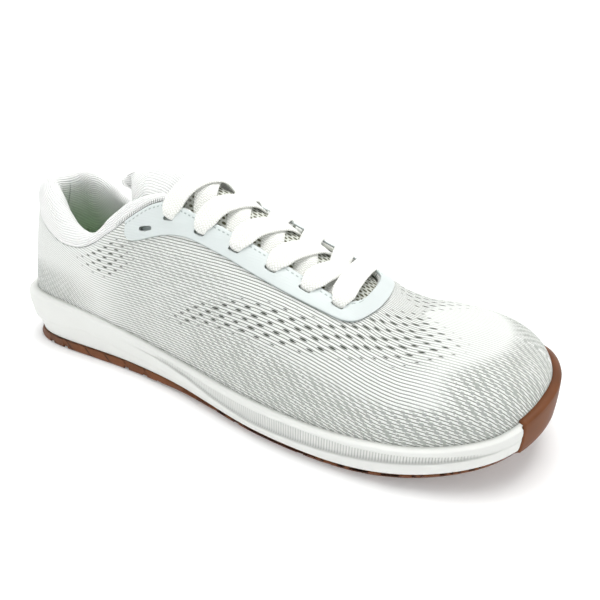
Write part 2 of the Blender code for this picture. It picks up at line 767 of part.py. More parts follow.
def slot_frames():
    """Where each lace slot is: centre, direction along the throat, outward direction."""
    frames = []
    for share, half in SLOTS:
        for side in (LATERAL, MEDIAL):
            y = side * half * BALL_WIDTH
            points = []
            for at in (share - 0.01, share, share + 0.01):
                at_side, angle = angle_at_width(at, y)
                points.append(skin(at, at_side, angle))
            at_side, angle = angle_at_width(share, y)
            out = normal(np.array(share), at_side, angle)
            along = points[2] - points[0]
            along = along / np.linalg.norm(along)
            out = out - along * np.dot(out, along)
            frames.append((points[1], along, out / np.linalg.norm(out)))
    return frames


def make_slot_cutter():
    outline = [(-1, 0), (-0.7, -1), (0.7, -1), (1, 0), (0.7, 1), (-0.7, 1)]
    form = bmesh.new()
    for centre, along, out in slot_frames():
        across = np.cross(out, along)
        ends = []
        for reach in (-0.005, 0.004):
            ring = [
                centre + along * a * SLOT_LENGTH / 2 + across * b * SLOT_WIDTH / 2 + out * reach
                for a, b in outline
            ]
            ends.append([form.verts.new(p) for p in ring])
        form.faces.new(ends[0][::-1])
        form.faces.new(ends[1])
        for i in range(6):
            j = (i + 1) % 6
            form.faces.new([ends[0][i], ends[0][j], ends[1][j], ends[1][i]])
    bmesh.ops.recalc_face_normals(form, faces=form.faces)
    return cutter_object("slot_cutter", form)


def lace_strip(name, start, finish_at, crossing, tucked):
    """A flat lace from one slot toward another across the throat, over the last."""
    steps = np.linspace(0, 1, 9)
    (share_a, y_a), (share_b, y_b) = start, finish_at
    share = share_a + (share_b - share_a) * steps
    y = y_a + (y_b - y_a) * steps
    side, angle = angle_at_width(share, y)
    centre, out = skin(share, side, angle), normal(share, side, angle)
    middle = normal(share, -side, angle)
    blend = np.clip(1 - np.abs(y) / 0.006, 0, 1)[:, None] * 0.5
    out = out * (1 - blend) + middle * blend
    out = out / np.linalg.norm(out, axis=-1, keepdims=True)
    height = LACE_HEIGHT + crossing * np.sin(np.pi * steps) ** 4
    if tucked:
        height = height + (LACE_TUCK - LACE_HEIGHT) * np.clip((steps - 0.62) / 0.3, 0, 1) ** 1.2
    centre = centre + out * height[:, None]
    along = np.gradient(centre, axis=0)
    along = along / np.linalg.norm(along, axis=-1, keepdims=True)
    across = np.cross(out, along)
    section = ((-1, 0), (-0.86, 1), (0.86, 1), (1, 0), (0.86, -1), (-0.86, -1))
    rows = [
        centre + across * a * LACE_WIDTH / 2 + out * b * LACE_THICKNESS / 2 for a, b in section
    ]
    grid = np.array(rows).transpose(1, 0, 2)
    form = bmesh.new()
    points = [[form.verts.new(p) for p in row] for row in grid]
    for i in range(len(points) - 1):
        for j in range(6):
            k = (j + 1) % 6
            form.faces.new([points[i][j], points[i][k], points[i + 1][k], points[i + 1][j]])
    form.faces.new(points[0])
    form.faces.new(points[-1][::-1])
    return finish(name, form)


def make_laces():
    """A straight bar at the toe end and a crossing of two joined strips between each pair of rows."""
    slots = [(share, half * BALL_WIDTH) for share, half in SLOTS[1:]]
    share, half = slots[-1]
    mesh = lace_strip("lace_bar", (share, -half), (share, half), LACE_BAR_RISE, False)
    new_object("lace_bar", mesh, (0.85, 0.86, 0.84), 0.85)
    for number, (here, ahead) in enumerate(zip(slots, slots[1:]), 1):
        reach = (here[1] + LACE_TUCK_HALF_WIDTH) / (here[1] + ahead[1])
        end = here[0] + (ahead[0] - here[0]) * reach
        over = lace_strip(
            "over", (here[0], -here[1]), (end, LACE_TUCK_HALF_WIDTH), LACE_OVER, True
        )
        under = lace_strip(
            "under", (here[0], here[1]), (end, -LACE_TUCK_HALF_WIDTH), LACE_UNDER, True
        )
        obj = new_object("lace_cross_%d" % number, over, (0.85, 0.86, 0.84), 0.85)
        helper = bpy.data.objects.new("under_%d" % number, under)
        helper.display_type = "WIRE"
        helper.hide_render = True
        cutters.objects.link(helper)
        boolean(obj, helper, "UNION")


for old in list(bpy.data.objects):
    bpy.data.objects.remove(old)
shoe = bpy.data.collections.new("barefoot_shoe")
cutters = bpy.data.collections.new("cutters")
cutters.hide_render = True
for collection in (shoe, cutters):
    bpy.context.scene.collection.children.link(collection)

upper = make_upper()
make_midsole()
make_outsole()
make_insole()
make_collar()
make_tongue()
eyestay = make_eyestay()
slot_cutter = make_slot_cutter()
boolean(upper, slot_cutter)
boolean(eyestay, slot_cutter)
make_laces()
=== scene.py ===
"""A right-foot barefoot running shoe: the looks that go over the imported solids.

X runs from heel to toe, +Y is the big toe's side and Z is up, in metres. Every piece is worked out
from one last, and the last from the sizes and tables below.
"""

import math

import bmesh
import bpy
import numpy as np
from bpy.props import FloatProperty, FloatVectorProperty, PointerProperty
from mathutils import Matrix, Vector


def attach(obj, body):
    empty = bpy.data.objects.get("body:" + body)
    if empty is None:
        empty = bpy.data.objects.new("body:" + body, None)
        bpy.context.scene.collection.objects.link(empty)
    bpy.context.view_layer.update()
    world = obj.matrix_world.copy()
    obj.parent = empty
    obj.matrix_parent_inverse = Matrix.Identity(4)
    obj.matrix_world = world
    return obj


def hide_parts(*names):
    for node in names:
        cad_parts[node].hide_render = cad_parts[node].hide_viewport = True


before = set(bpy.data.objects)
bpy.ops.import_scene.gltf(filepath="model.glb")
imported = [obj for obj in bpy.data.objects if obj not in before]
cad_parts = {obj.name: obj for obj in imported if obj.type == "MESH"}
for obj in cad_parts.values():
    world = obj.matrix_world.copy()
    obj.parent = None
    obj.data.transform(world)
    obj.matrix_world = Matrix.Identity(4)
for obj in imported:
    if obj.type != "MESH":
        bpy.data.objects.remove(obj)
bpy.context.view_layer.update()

bl_info = {
    "name": "Barefoot Shoe",
    "version": (1, 0, 0),
    "blender": (4, 5, 0),
    "location": "3D View > Sidebar > Shoe",
    "description": "Dresses the packed barefoot shoe with knit, film, foam, rubber and laces",
    "category": "Object",
}

LATERAL, MEDIAL = -1, 1
QUARTER_TURN = np.pi / 2
HEEL_FAN, TOE_FAN = 0.14, 0.80
HEEL_LEAN, HEEL_CURVE, HEEL_CURVE_END = 0.50, 0.19, 0.30
SPRING_START = 0.70
RAND_START, RAND_STEP = 0.9540, 0.0026
HEEL_BEVEL, HEEL_BEVEL_END = 0.0020, 0.06
GAP, CUP_GAP, FILM_GAP = 0.0003, 0.0005, 0.0002
HEEL_HEIGHT_SHARE = 0.9133
EYESTAY_WALL, RAND_WALL = 0.0008, 0.0016
CUFF_LINING, CUFF_DEPTH = 0.0016, 0.024
INSOLE_THICKNESS, INSOLE_INSET = 0.0040, 0.0072
LUG_GROOVE, LUG_DEPTH = 0.0030, 0.0016
SLOT_HALF, EMPTY_SLOT_HALF, SLOT_HALF_WIDTH = 0.0027, 0.0038, 0.00105
RIB_START, RIB_END = 0.36, 0.955

# The sole's widest outline:
# share of length, lateral and medial half width as shares of the ball width
OUTLINE = (
    (0.000, 0.000, 0.000),
    (0.012, 0.155, 0.150),
    (0.040, 0.260, 0.242),
    (0.100, 0.324, 0.305),
    (0.180, 0.338, 0.329),
    (0.320, 0.352, 0.314),
    (0.460, 0.410, 0.333),
    (0.600, 0.490, 0.419),
    (0.700, 0.514, 0.476),
    (0.800, 0.500, 0.490),
    (0.880, 0.438, 0.462),
    (0.940, 0.338, 0.390),
    (0.985, 0.157, 0.248),
    (1.000, -0.038, 0.038),
)

# The last's sections:
# share of length, feather height / sole heel height, ridge height / instep height,
# exponent across, exponent up, ridge's shift to the medial side / ball width
SECTIONS = (
    (0.00, 1.000, 1.276, 1.80, 1.60, 0.000),
    (0.14, 0.937, 1.276, 1.80, 1.60, 0.000),
    (0.22, 0.841, 1.153, 1.95, 1.75, 0.000),
    (0.30, 0.730, 1.061, 2.15, 1.95, 0.000),
    (0.42, 0.603, 1.000, 2.25, 2.05, 0.005),
    (0.52, 0.556, 0.872, 2.25, 2.10, 0.010),
    (0.62, 0.540, 0.722, 2.20, 2.20, 0.014),
    (0.70, 0.524, 0.607, 2.30, 2.30, 0.019),
    (0.80, 0.556, 0.490, 2.40, 2.30, 0.029),
    (0.92, 0.730, 0.480, 2.80, 2.50, 0.029),
    (1.00, 1.063, 0.480, 3.10, 2.60, 0.029),
)

# The upper's top line: share of length, angle round the section / quarter turn
TOP_LINE = (
    (0.000, 0.480),
    (0.040, 0.455),
    (0.075, 0.412),
    (0.110, 0.381),
    (0.129, 0.368),
    (0.160, 0.354),
    (0.188, 0.358),
    (0.214, 0.374),
    (0.240, 0.401),
    (0.266, 0.441),
    (0.290, 0.481),
    (0.312, 0.531),
    (0.341, 0.598),
    (0.360, 0.642),
    (0.377, 0.672),
    (0.395, 0.694),
    (0.437, 0.692),
    (0.492, 0.716),
    (0.553, 0.742),
    (0.606, 0.752),
    (0.672, 0.762),
    (0.692, 0.770),
    (0.707, 0.815),
    (0.717, 0.885),
    (0.721, 1.000),
)
THROAT_END = TOP_LINE[-1][0]

# The padded collar: share of length, rim's height / heel height, padding / instep height
COLLAR = (
    (0.000, 1.039, 0.092),
    (0.040, 1.037, 0.092),
    (0.070, 1.017, 0.090),
    (0.101, 0.978, 0.088),
    (0.125, 0.938, 0.084),
    (0.150, 0.877, 0.078),
    (0.175, 0.816, 0.070),
    (0.194, 0.788, 0.064),
    (0.215, 0.775, 0.058),
    (0.232, 0.784, 0.054),
    (0.250, 0.820, 0.050),
    (0.269, 0.877, 0.047),
    (0.291, 0.927, 0.045),
    (0.312, 0.972, 0.043),
    (0.341, 1.011, 0.041),
    (0.360, 1.028, 0.039),
    (0.377, 1.035, 0.037),
    (0.395, 1.032, 0.035),
    (0.418, 1.027, 0.030),
)

# The collar's section: inward as a share of the padding, then up as a share of the rim's height
CUFF_ABOVE = (
    (0.00, 0.03),
    (-0.10, 0.30),
    (-0.08, 0.62),
    (0.10, 0.88),
    (0.42, 1.00),
    (0.78, 0.93),
    (0.98, 0.68),
    (1.00, 0.20),
)
# Its lining: share of the way from the lining's wall to the padding, down / the cuff's depth
CUFF_BELOW = ((0.70, 0.30), (0.25, 0.70), (0.00, 1.00))

# The eyestay's outer edge: share of length, angle round the section / quarter turn
EYESTAY = (
    (0.3140, 0.500),
    (0.3165, 0.468),
    (0.3270, 0.455),
    (0.3480, 0.468),
    (0.3700, 0.491),
    (0.4090, 0.531),
    (0.4490, 0.558),
    (0.4850, 0.571),
    (0.5220, 0.584),
    (0.5570, 0.590),
    (0.6060, 0.604),
    (0.6390, 0.616),
    (0.6700, 0.632),
    (0.6990, 0.649),
    (0.7120, 0.672),
    (0.7230, 0.716),
    (0.7320, 0.786),
    (0.7400, 0.879),
    (0.7440, 1.000),
)
EYESTAY_MARGIN = 0.008

# The lace slots from the empty top one to the toe: share of length, half width / ball width
SLOTS = (
    (0.360, 0.233),
    (0.403, 0.214),
    (0.463, 0.229),
    (0.524, 0.234),
    (0.584, 0.234),
    (0.639, 0.233),
    (0.688, 0.222),
)

# The tongue: share of length, edge's angle / quarter turn, then depth under the last at the
# middle, depth at the edges and thickness as shares of the instep height
TONGUE = (
    (0.262, 0.660, 0.165, 0.165, 0.022),
    (0.268, 0.630, 0.138, 0.142, 0.066),
    (0.285, 0.602, 0.090, 0.106, 0.092),
    (0.310, 0.595, 0.034, 0.074, 0.098),
    (0.340, 0.592, -0.008, 0.060, 0.088),
    (0.370, 0.590, 0.000, 0.056, 0.072),
    (0.400, 0.590, 0.027, 0.055, 0.056),
    (0.435, 0.590, 0.028, 0.048, 0.046),
    (0.490, 0.610, 0.029, 0.033, 0.042),
    (0.560, 0.630, 0.030, 0.031, 0.040),
    (0.630, 0.650, 0.030, 0.031, 0.038),
    (0.690, 0.670, 0.030, 0.031, 0.034),
    (0.735, 0.720, 0.030, 0.031, 0.026),
)

# The midsole's side: share of length, crease height, its depth / foot inset, the ribbed band's low
# and high edges, the band's depth / foot inset, the bulge / foot inset.
# Heights are shares of the way from the gum to the feather
SIDE = (
    (0.00, 0.36, 0.42, 0.74, 0.88, 0.00, 0.36),
    (0.06, 0.36, 0.42, 0.74, 0.88, 0.00, 0.28),
    (0.13, 0.38, 0.40, 0.74, 0.88, 0.00, 0.16),
    (0.21, 0.50, 0.36, 0.76, 0.89, 0.00, 0.08),
    (0.26, 0.42, 0.32, 0.76, 0.89, 0.00, 0.03),
    (0.32, 0.35, 0.28, 0.76, 0.90, 0.04, 0.00),
    (0.39, 0.34, 0.26, 0.72, 0.90, 0.24, 0.00),
    (0.45, 0.33, 0.24, 0.62, 0.89, 0.33, 0.00),
    (0.52, 0.28, 0.12, 0.40, 0.82, 0.34, 0.00),
    (0.60, 0.20, 0.02, 0.29, 0.82, 0.34, 0.00),
    (0.68, 0.18, 0.00, 0.34, 0.87, 0.34, 0.00),
    (0.76, 0.18, 0.00, 0.43, 0.84, 0.34, 0.00),
    (0.84, 0.18, 0.00, 0.50, 0.82, 0.33, 0.00),
    (0.90, 0.18, 0.00, 0.52, 0.74, 0.26, 0.00),
    (0.94, 0.18, 0.00, 0.56, 0.72, 0.06, 0.00),
    (1.00, 0.18, 0.00, 0.56, 0.72, 0.00, 0.00),
)

# The gum's edge: share of length, top of the gum / sole heel height, lateral and medial arch lift
# in the same measure
GUM = (
    (0.00, 0.143, 0.000, 0.000),
    (0.28, 0.137, 0.000, 0.000),
    (0.34, 0.110, 0.016, 0.040),
    (0.42, 0.088, 0.032, 0.110),
    (0.50, 0.078, 0.016, 0.060),
    (0.58, 0.076, 0.000, 0.000),
    (1.00, 0.080, 0.000, 0.000),
)

# The grooves between the lugs: share of length, slant in degrees
GROOVES = (
    (0.045, 24),
    (0.085, 24),
    (0.245, 24),
    (0.290, 24),
    (0.335, 20),
    (0.510, -16),
    (0.560, -16),
    (0.610, -16),
    (0.730, -16),
    (0.780, -18),
    (0.830, -20),
    (0.880, -22),
)

# Soft creases: share of length and angle / quarter turn where each starts and ends,
# half width and depth in millimetres
CREASES = (
    (0.735, 0.97, 0.700, 0.55, 3.5, 0.35),
    (0.765, 0.90, 0.745, 0.52, 4.0, 0.30),
    (0.700, 0.55, 0.660, 0.30, 4.0, 0.30),
    (0.600, 0.52, 0.560, 0.22, 5.0, 0.25),
    (0.300, 0.40, 0.230, 0.18, 5.0, 0.35),
    (0.200, 0.33, 0.150, 0.14, 5.0, 0.30),
    (0.400, 0.48, 0.350, 0.20, 6.0, 0.25),
)

# The open-knit zones: share of length, then the low and high edge of the zone as row numbers
# in millimetres up from the sole
OPEN_SIDE = (
    (0.38, 28.0, 34.0),
    (0.44, 28.0, 37.0),
    (0.49, 31.5, 44.0),
    (0.55, 33.0, 50.5),
    (0.62, 35.5, 54.5),
    (0.67, 39.0, 56.0),
    (0.72, 45.0, 65.0),
    (0.76, 50.0, 84.0),
    (0.80, 53.0, 92.0),
    (0.85, 57.0, 92.0),
    (0.90, 63.0, 90.0),
    (0.94, 69.0, 86.0),
    (0.98, 76.0, 82.0),
)
OPEN_ANKLE = (
    (0.16, 40.0, 42.0),
    (0.20, 39.0, 46.0),
    (0.235, 38.5, 53.0),
    (0.27, 38.5, 59.5),
    (0.30, 42.0, 62.0),
    (0.34, 51.0, 61.0),
    (0.37, 57.0, 59.0),
)


def length_property(name, description, value):
    return FloatProperty(name=name, description=description, default=value, unit="LENGTH")


class ShoeSizes(bpy.types.PropertyGroup):
    """Main sizes of the shoe, as a maker states them."""

    length: length_property("Length", "Heel to toe", 0.288)
    ball_width: length_property("Ball width", "Widest width of the sole", 0.105)
    instep_height: length_property("Instep height", "Height at the instep", 0.098)
    sole_heel_height: length_property(
        "Sole height", "Height of the sole's side at the heel", 0.0315
    )
    toe_spring: length_property("Toe spring", "Lift of the toe", 0.018)
    floor_height: length_property("Floor height", "Height of the cup's floor", 0.0095)
    heel_rest: length_property("Heel rest", "Distance from the heel's end to the origin", 0.040)
    foot_inset: length_property("Foot inset", "Distance from the sole's edge to the upper", 0.0034)
    upper_wall: length_property("Upper wall", "Thickness of the knit", 0.0020)
    thread_pitch: length_property("Thread pitch", "Distance between the knit's rows", 0.00130)
    rib_pitch: length_property(
        "Rib pitch", "Distance between the ribs of the sole's side", 0.00115
    )
    rib_depth: length_property("Rib depth", "Depth of the ribs' gaps", 0.00045)
    lace_width: length_property("Lace width", "Width of the flat lace", 0.0104)
    lace_thickness: length_property("Lace thickness", "Thickness of the lace", 0.0014)


def colour_property(name, description, value):
    return FloatVectorProperty(
        name=name, description=description, default=value, size=3, subtype="COLOR", min=0, max=1
    )


class ShoeColours(bpy.types.PropertyGroup):
    """Colours of the shoe's materials, in linear values."""

    thread: colour_property("Thread", "White rows of the knit", (0.885, 0.90, 0.88))
    ground: colour_property("Ground", "Grey-green ground of the knit", (0.20, 0.22, 0.185))
    melange: colour_property("Melange", "Grey floats over the ground", (0.33, 0.355, 0.325))
    # The opening colour is painted shade: the dark seen through the knit's openings.
    opening: colour_property("Opening", "Inside the open knit", (0.055, 0.065, 0.05))
    film: colour_property("Film", "Welded eyestay film", (0.60, 0.65, 0.642))
    cuff: colour_property("Cuff", "Ribbed collar and tongue knit", (0.92, 0.93, 0.915))
    lining: colour_property("Lining", "Green-tinted lining", (0.60, 0.74, 0.56))
    foam: colour_property("Foam", "White midsole foam", (0.69, 0.70, 0.675))
    gum: colour_property("Gum", "Gum-brown rubber", (0.145, 0.052, 0.020))
    lace: colour_property("Lace", "Woven white lace", (0.93, 0.935, 0.91))


def column(rows, index):
    return np.array([row[index] for row in rows], float)


def smooth_curve(x, y):
    """A natural cubic spline through the table's points."""
    x, y = np.asarray(x, float), np.asarray(y, float)
    count, step = len(x), np.diff(x)
    matrix, right = np.eye(count), np.zeros(count)
    for i in range(1, count - 1):
        matrix[i, i - 1 : i + 2] = step[i - 1], 2 * (step[i - 1] + step[i]), step[i]
        right[i] = 6 * ((y[i + 1] - y[i]) / step[i] - (y[i] - y[i - 1]) / step[i - 1])
    bend = np.linalg.solve(matrix, right)

    def value(at):
        at = np.clip(np.asarray(at, float), x[0], x[-1])
        i = np.clip(np.searchsorted(x, at) - 1, 0, count - 2)
        a, b, h = x[i + 1] - at, at - x[i], step[i]
        bent = (bend[i] * a**3 + bend[i + 1] * b**3) / (6 * h)
        return bent + (y[i] / h - bend[i] * h / 6) * a + (y[i + 1] / h - bend[i + 1] * h / 6) * b

    return value


def steady_curve(x, y):
    """A cubic through the table's points that never overshoots them."""
    x, y = np.asarray(x, float), np.asarray(y, float)
    step = np.diff(x)
    slope = np.diff(y) / step
    tangent = np.zeros(len(x))
    tangent[0], tangent[-1] = slope[0], slope[-1]
    for i in range(1, len(x) - 1):
        if slope[i - 1] * slope[i] > 0:
            w1, w2 = 2 * step[i] + step[i - 1], step[i] + 2 * step[i - 1]
            tangent[i] = (w1 + w2) / (w1 / slope[i - 1] + w2 / slope[i])

    def value(at):
        at = np.clip(np.asarray(at, float), x[0], x[-1])
        i = np.clip(np.searchsorted(x, at, side="right") - 1, 0, len(step) - 1)
        t, h = (at - x[i]) / step[i], step[i]
        start = (1 + 2 * t) * (1 - t) ** 2 * y[i] + t * (1 - t) ** 2 * h * tangent[i]
        return start + t**2 * (3 - 2 * t) * y[i + 1] + t**2 * (t - 1) * h * tangent[i + 1]

    return value


def smooth_step(value, low, high):
    t = np.clip((np.asarray(value, float) - low) / (high - low), 0, 1)
    return t * t * (3 - 2 * t)


def unit(vectors):
    return vectors / np.linalg.norm(vectors, axis=-1, keepdims=True)


def run_along(points, axis):
    """The length from the first point along this axis of a grid of points."""
    step = np.linalg.norm(np.diff(points, axis=axis), axis=-1)
    start = np.zeros_like(np.take(step, [0], axis=axis))
    return np.concatenate([start, np.cumsum(step, axis=axis)], axis)


def turn_of(share):
    return np.arccos(np.clip(1 - 2 * np.asarray(share, float), -1, 1)) / np.pi


def share_of(turn):
    return (1 - np.cos(np.pi * np.asarray(turn, float))) / 2


class Last:
    """The form that every piece of the shoe follows."""

    def __init__(self, sizes):
        self.sizes = sizes
        turns = turn_of(column(OUTLINE, 0))
        self.widths = {
            LATERAL: smooth_curve(turns, column(OUTLINE, 1) * sizes.ball_width),
            MEDIAL: smooth_curve(turns, column(OUTLINE, 2) * sizes.ball_width),
        }
        shares = column(SECTIONS, 0)
        self.feather = steady_curve(shares, column(SECTIONS, 1) * sizes.sole_heel_height)
        self.ridge = steady_curve(shares, column(SECTIONS, 2) * sizes.instep_height)
        self.power_across = steady_curve(shares, column(SECTIONS, 3))
        self.power_up = steady_curve(shares, column(SECTIONS, 4))
        self.ridge_shift = steady_curve(shares, column(SECTIONS, 5) * sizes.ball_width)
        self.top_line = steady_curve(column(TOP_LINE, 0), column(TOP_LINE, 1) * QUARTER_TURN)
        gum = [steady_curve(column(GUM, 0), column(GUM, k)) for k in (1, 2, 3)]
        self.gum_thickness, self.lateral_lift, self.medial_lift = gum

    def half_width(self, turn, side):
        lateral, medial = self.widths[LATERAL](turn), self.widths[MEDIAL](turn)
        return np.where(np.asarray(side) < 0, lateral, medial)

    def edge(self, share, side, inset):
        """A point of the sole's outline in plan, moved inward by the inset."""
        length = self.sizes.length
        turn, step = turn_of(share), 1e-3
        before, after = np.clip(turn - step, 0, 1), np.clip(turn + step, 0, 1)
        along = length * (share_of(after) - share_of(before))
        out = side * (self.half_width(after, side) - self.half_width(before, side))
        size = np.hypot(along, out)
        x = length * share_of(turn) - self.sizes.heel_rest + out * side / size * inset
        return x, side * self.half_width(turn, side) - along * side / size * inset

    def spine(self, share):
        at = np.clip(share, HEEL_FAN, TOE_FAN)
        return self.sizes.length * at - self.sizes.heel_rest, self.ridge_shift(at)

    def spring(self, share):
        rise = np.clip((share - SPRING_START) / (1 - SPRING_START), 0, 1)
        return self.sizes.toe_spring * rise**2

    def ground(self, share, side, inward=0.0):
        """The outsole's underside: bevelled heel, lifted arch and toe spring."""
        bevel = HEEL_BEVEL * np.clip(1 - share / HEEL_BEVEL_END, 0, 1) ** 2 * (1 - inward)
        lateral, medial = self.lateral_lift(share), self.medial_lift(share)
        own = np.where(np.asarray(side) < 0, lateral, medial)
        lift = own * (1 - inward) + (lateral + medial) / 2 * inward
        return self.spring(share) + bevel + lift * self.sizes.sole_heel_height

    def gum_top(self, share, side, inward=0.0):
        thickness = self.gum_thickness(share) * self.sizes.sole_heel_height
        bevel = HEEL_BEVEL * np.clip(1 - share / HEEL_BEVEL_END, 0, 1) ** 2 * (1 - inward)
        return self.ground(share, side, inward) + thickness - bevel

    def floor_under(self, share, side=None, inward=0.0):
        return self.sizes.floor_height - GAP + self.spring(share)

    def midsole_under(self, share, side, inward=0.0):
        return self.gum_top(share, side, inward) + CUP_GAP

    def skin(self, share, side, angle):
        """The upper's outer surface, from the foot at angle 0 to the ridge at a quarter turn."""
        px, py = self.edge(share, side, self.sizes.foot_inset)
        kx, ky = self.spine(share)
        base = self.sizes.floor_height + self.spring(share)
        across = 1 - np.cos(angle) ** (2 / self.power_across(share))
        up = np.sin(angle) ** (2 / self.power_up(share))
        lean = HEEL_LEAN + (1 - HEEL_LEAN) * np.clip(share / HEEL_FAN, 0, 1) ** 2
        z = base + (self.ridge(np.clip(share, HEEL_FAN, TOE_FAN)) - base) * up
        curve = HEEL_CURVE * np.clip(1 - share / HEEL_CURVE_END, 0, 1)
        x = px + (kx - px) * across * lean
        x = x + curve * np.maximum(z - self.sizes.sole_heel_height, 0)
        return np.stack(np.broadcast_arrays(x, py + (ky - py) * across, z), -1)

    def normal(self, share, side, angle):
        turn = np.clip(turn_of(share), 2e-3, 1 - 2e-3)
        angle = np.clip(angle, 0.01, QUARTER_TURN - 0.06)
        ahead, behind = share_of(turn + 1e-3), share_of(turn - 1e-3)
        along = self.skin(ahead, side, angle) - self.skin(behind, side, angle)
        here = share_of(turn)
        up = self.skin(here, side, angle + 5e-3) - self.skin(here, side, angle - 5e-3)
        out = np.cross(along, up) * -np.asarray(side, float)[..., None]
        return unit(out)

    def layer(self, share, side, angle, depth):
        """The skin moved inward by the depth."""
        share, side, angle, depth = np.broadcast_arrays(share, side, angle, depth)
        blend = np.clip((angle / QUARTER_TURN - 0.93) / 0.07, 0, 1)[..., None]
        own, other = self.normal(share, side, angle), self.normal(share, -side, angle)
        out = own * (1 - blend / 2) + other * blend / 2
        out = unit(out)
        return self.skin(share, side, angle) - out * depth[..., None]

    def angle_at_height(self, share, height):
        base = self.sizes.floor_height + self.spring(share)
        top = self.ridge(np.clip(share, HEEL_FAN, TOE_FAN))
        rest = np.clip((height - base) / (top - base), 0, 1)
        return np.arcsin(rest ** (self.power_up(share) / 2))

    def angle_at_width(self, share, y):
        """The side and angle of the skin's point at this share and y, between the two fans."""
        middle = self.ridge_shift(share)
        side = np.where(y < middle, LATERAL, MEDIAL)
        reach = np.abs(self.edge(share, side, self.sizes.foot_inset)[1] - middle)
        rest = np.clip(np.abs(y - middle) / reach, 0, 1)
        return side, np.arccos(rest ** (self.power_across(share) / 2))

    def plan_row(self, share, side, inset, inward, height):
        """A row of points in plan, moved from the outline's edge toward the spine."""
        px, py = self.edge(share, side, inset)
        kx, ky = self.spine(share)
        x, y = px + (kx - px) * inward, py + (ky - py) * inward
        if callable(height):
            at = share if inward == 0 else (x + self.sizes.heel_rest) / self.sizes.length
            height = height(at, side, inward)
        return np.stack(np.broadcast_arrays(x, y, height), -1)

    def relief(self, share, side, angle):
        """Soft creases where the knit has been bent and handled."""
        length = self.sizes.length
        total = np.zeros(np.broadcast(share, angle).shape)
        girth = 0.075
        for s0, a0, s1, a1, width, depth in CREASES:
            start = np.array([s0 * length, a0 * girth])
            line = np.array([s1 * length, a1 * girth]) - start
            p = np.stack([share * length - start[0], angle / QUARTER_TURN * girth - start[1]], -1)
            t = np.clip((p @ line) / (line @ line), 0, 1)
            away = np.linalg.norm(p - t[..., None] * line, axis=-1)
            ends = smooth_step(t, 0.0, 0.3) * smooth_step(1 - t, 0.0, 0.3)
            wave = np.exp(-((away / (width * 1e-3)) ** 2))
            ridge = np.exp(-(((away - width * 1.7e-3) / (width * 0.9e-3)) ** 2))
            total = total + (wave - 0.45 * ridge) * depth * 1e-3 * ends
        return total

    def rows(self, share, side, angle):
        """Which row of the knit a point lies in, in millimetres up from the foot's edge.

        Rows run parallel to the sole as far as the ball, straight on over the toe, and climb toward
        the collar round the heel.
        """
        share, side, angle = np.broadcast_arrays(share, side, angle)
        result = np.zeros(share.shape)
        sections, places = 120, 70
        turns = np.linspace(0, QUARTER_TURN, places)
        grid = np.linspace(0, TOE_FAN, sections)
        for one in (LATERAL, MEDIAL):
            line = self.skin(grid[:, None], np.full((sections, 1), one), turns[None, :])
            arc = run_along(line, 1)
            girth = arc[:, -1]
            fade = 1 - smooth_step(grid, 0.50, THROAT_END)
            steady = np.concatenate([[0], np.cumsum(np.diff(girth) * (fade[1:] + fade[:-1]) / 2)])
            steady = steady + girth[0]
            if one == LATERAL:
                last_row = steady[-1]
            steady = steady + (last_row - steady[-1])
            mine = side == one
            s, a = share[mine], angle[mine]
            x = self.skin(s, np.full(s.shape, one), a)[:, 0]
            up = table_value(arc, s / TOE_FAN * (sections - 1), a / QUARTER_TURN * (places - 1))
            by_section = np.interp(s, grid, steady) - np.interp(s, grid, girth) + up
            spine_share = (x + self.sizes.heel_rest) / self.sizes.length
            by_slice = np.interp(spine_share, grid, steady) - self.from_middle(s, one, a, x)
            part = smooth_step(s, 0.55, THROAT_END - 0.02)
            out = by_section * (1 - part) + by_slice * part
            result[mine] = out - 9.0 * np.maximum(0.040 - x, 0) ** 2
        return result * 1000

    def from_middle(self, share, side, angle, x):
        """The distance from the shoe's middle line, in a slice straight across the forefoot."""
        length, rest = self.sizes.length, self.sizes.heel_rest
        first, last = length * 0.5 - rest, self.skin(1.0, side, 0.0)[..., 0] - 2e-5
        slices, tips, places = 150, 400, 90
        planes = np.linspace(first, last, slices)
        turns = QUARTER_TURN * (1 - np.linspace(1, 0, tips) ** 2)
        tip = self.skin(np.ones(tips), np.full(tips, side), turns)[:, 0]
        end = np.interp(-planes, -tip, turns)
        end = np.where(planes <= self.spine(TOE_FAN)[0], QUARTER_TURN, end)
        turn = end[:, None] * (1 - np.linspace(1, 0, places) ** 2)
        low, high = np.full(turn.shape, 0.3), np.ones(turn.shape)
        for _ in range(26):
            middle = (low + high) / 2
            short = self.skin(middle, np.full(turn.shape, side), turn)[..., 0] < planes[:, None]
            low, high = np.where(short, middle, low), np.where(short, high, middle)
        line = self.skin(high, np.full(turn.shape, side), turn)
        arc = run_along(line, 1)
        away = arc[:, -1:] - arc
        row = (x - first) / (last - first) * (slices - 1)
        own_end = np.interp(np.clip(x, first, last), planes, end)
        left = np.clip(1 - angle / np.maximum(own_end, 1e-3), 0, 1)
        return table_value(away, row, (1 - np.sqrt(left)) * (places - 1))


def table_value(table, row, place):
    """The value between the table's four nearest entries."""
    row = np.clip(row, 0, table.shape[0] - 1.001)
    place = np.clip(place, 0, table.shape[1] - 1.001)
    i, j = row.astype(int), place.astype(int)
    u, v = row - i, place - j
    low = table[i, j] * (1 - v) + table[i, j + 1] * v
    return low * (1 - u) + (table[i + 1, j] * (1 - v) + table[i + 1, j + 1] * v) * u


def sizes():
    return bpy.context.scene.shoe_sizes


def colours():
    return bpy.context.scene.shoe_colours


def shaded(colour, factor):
    return tuple(factor * part for part in colour)


def the_last():
    return Last(sizes())


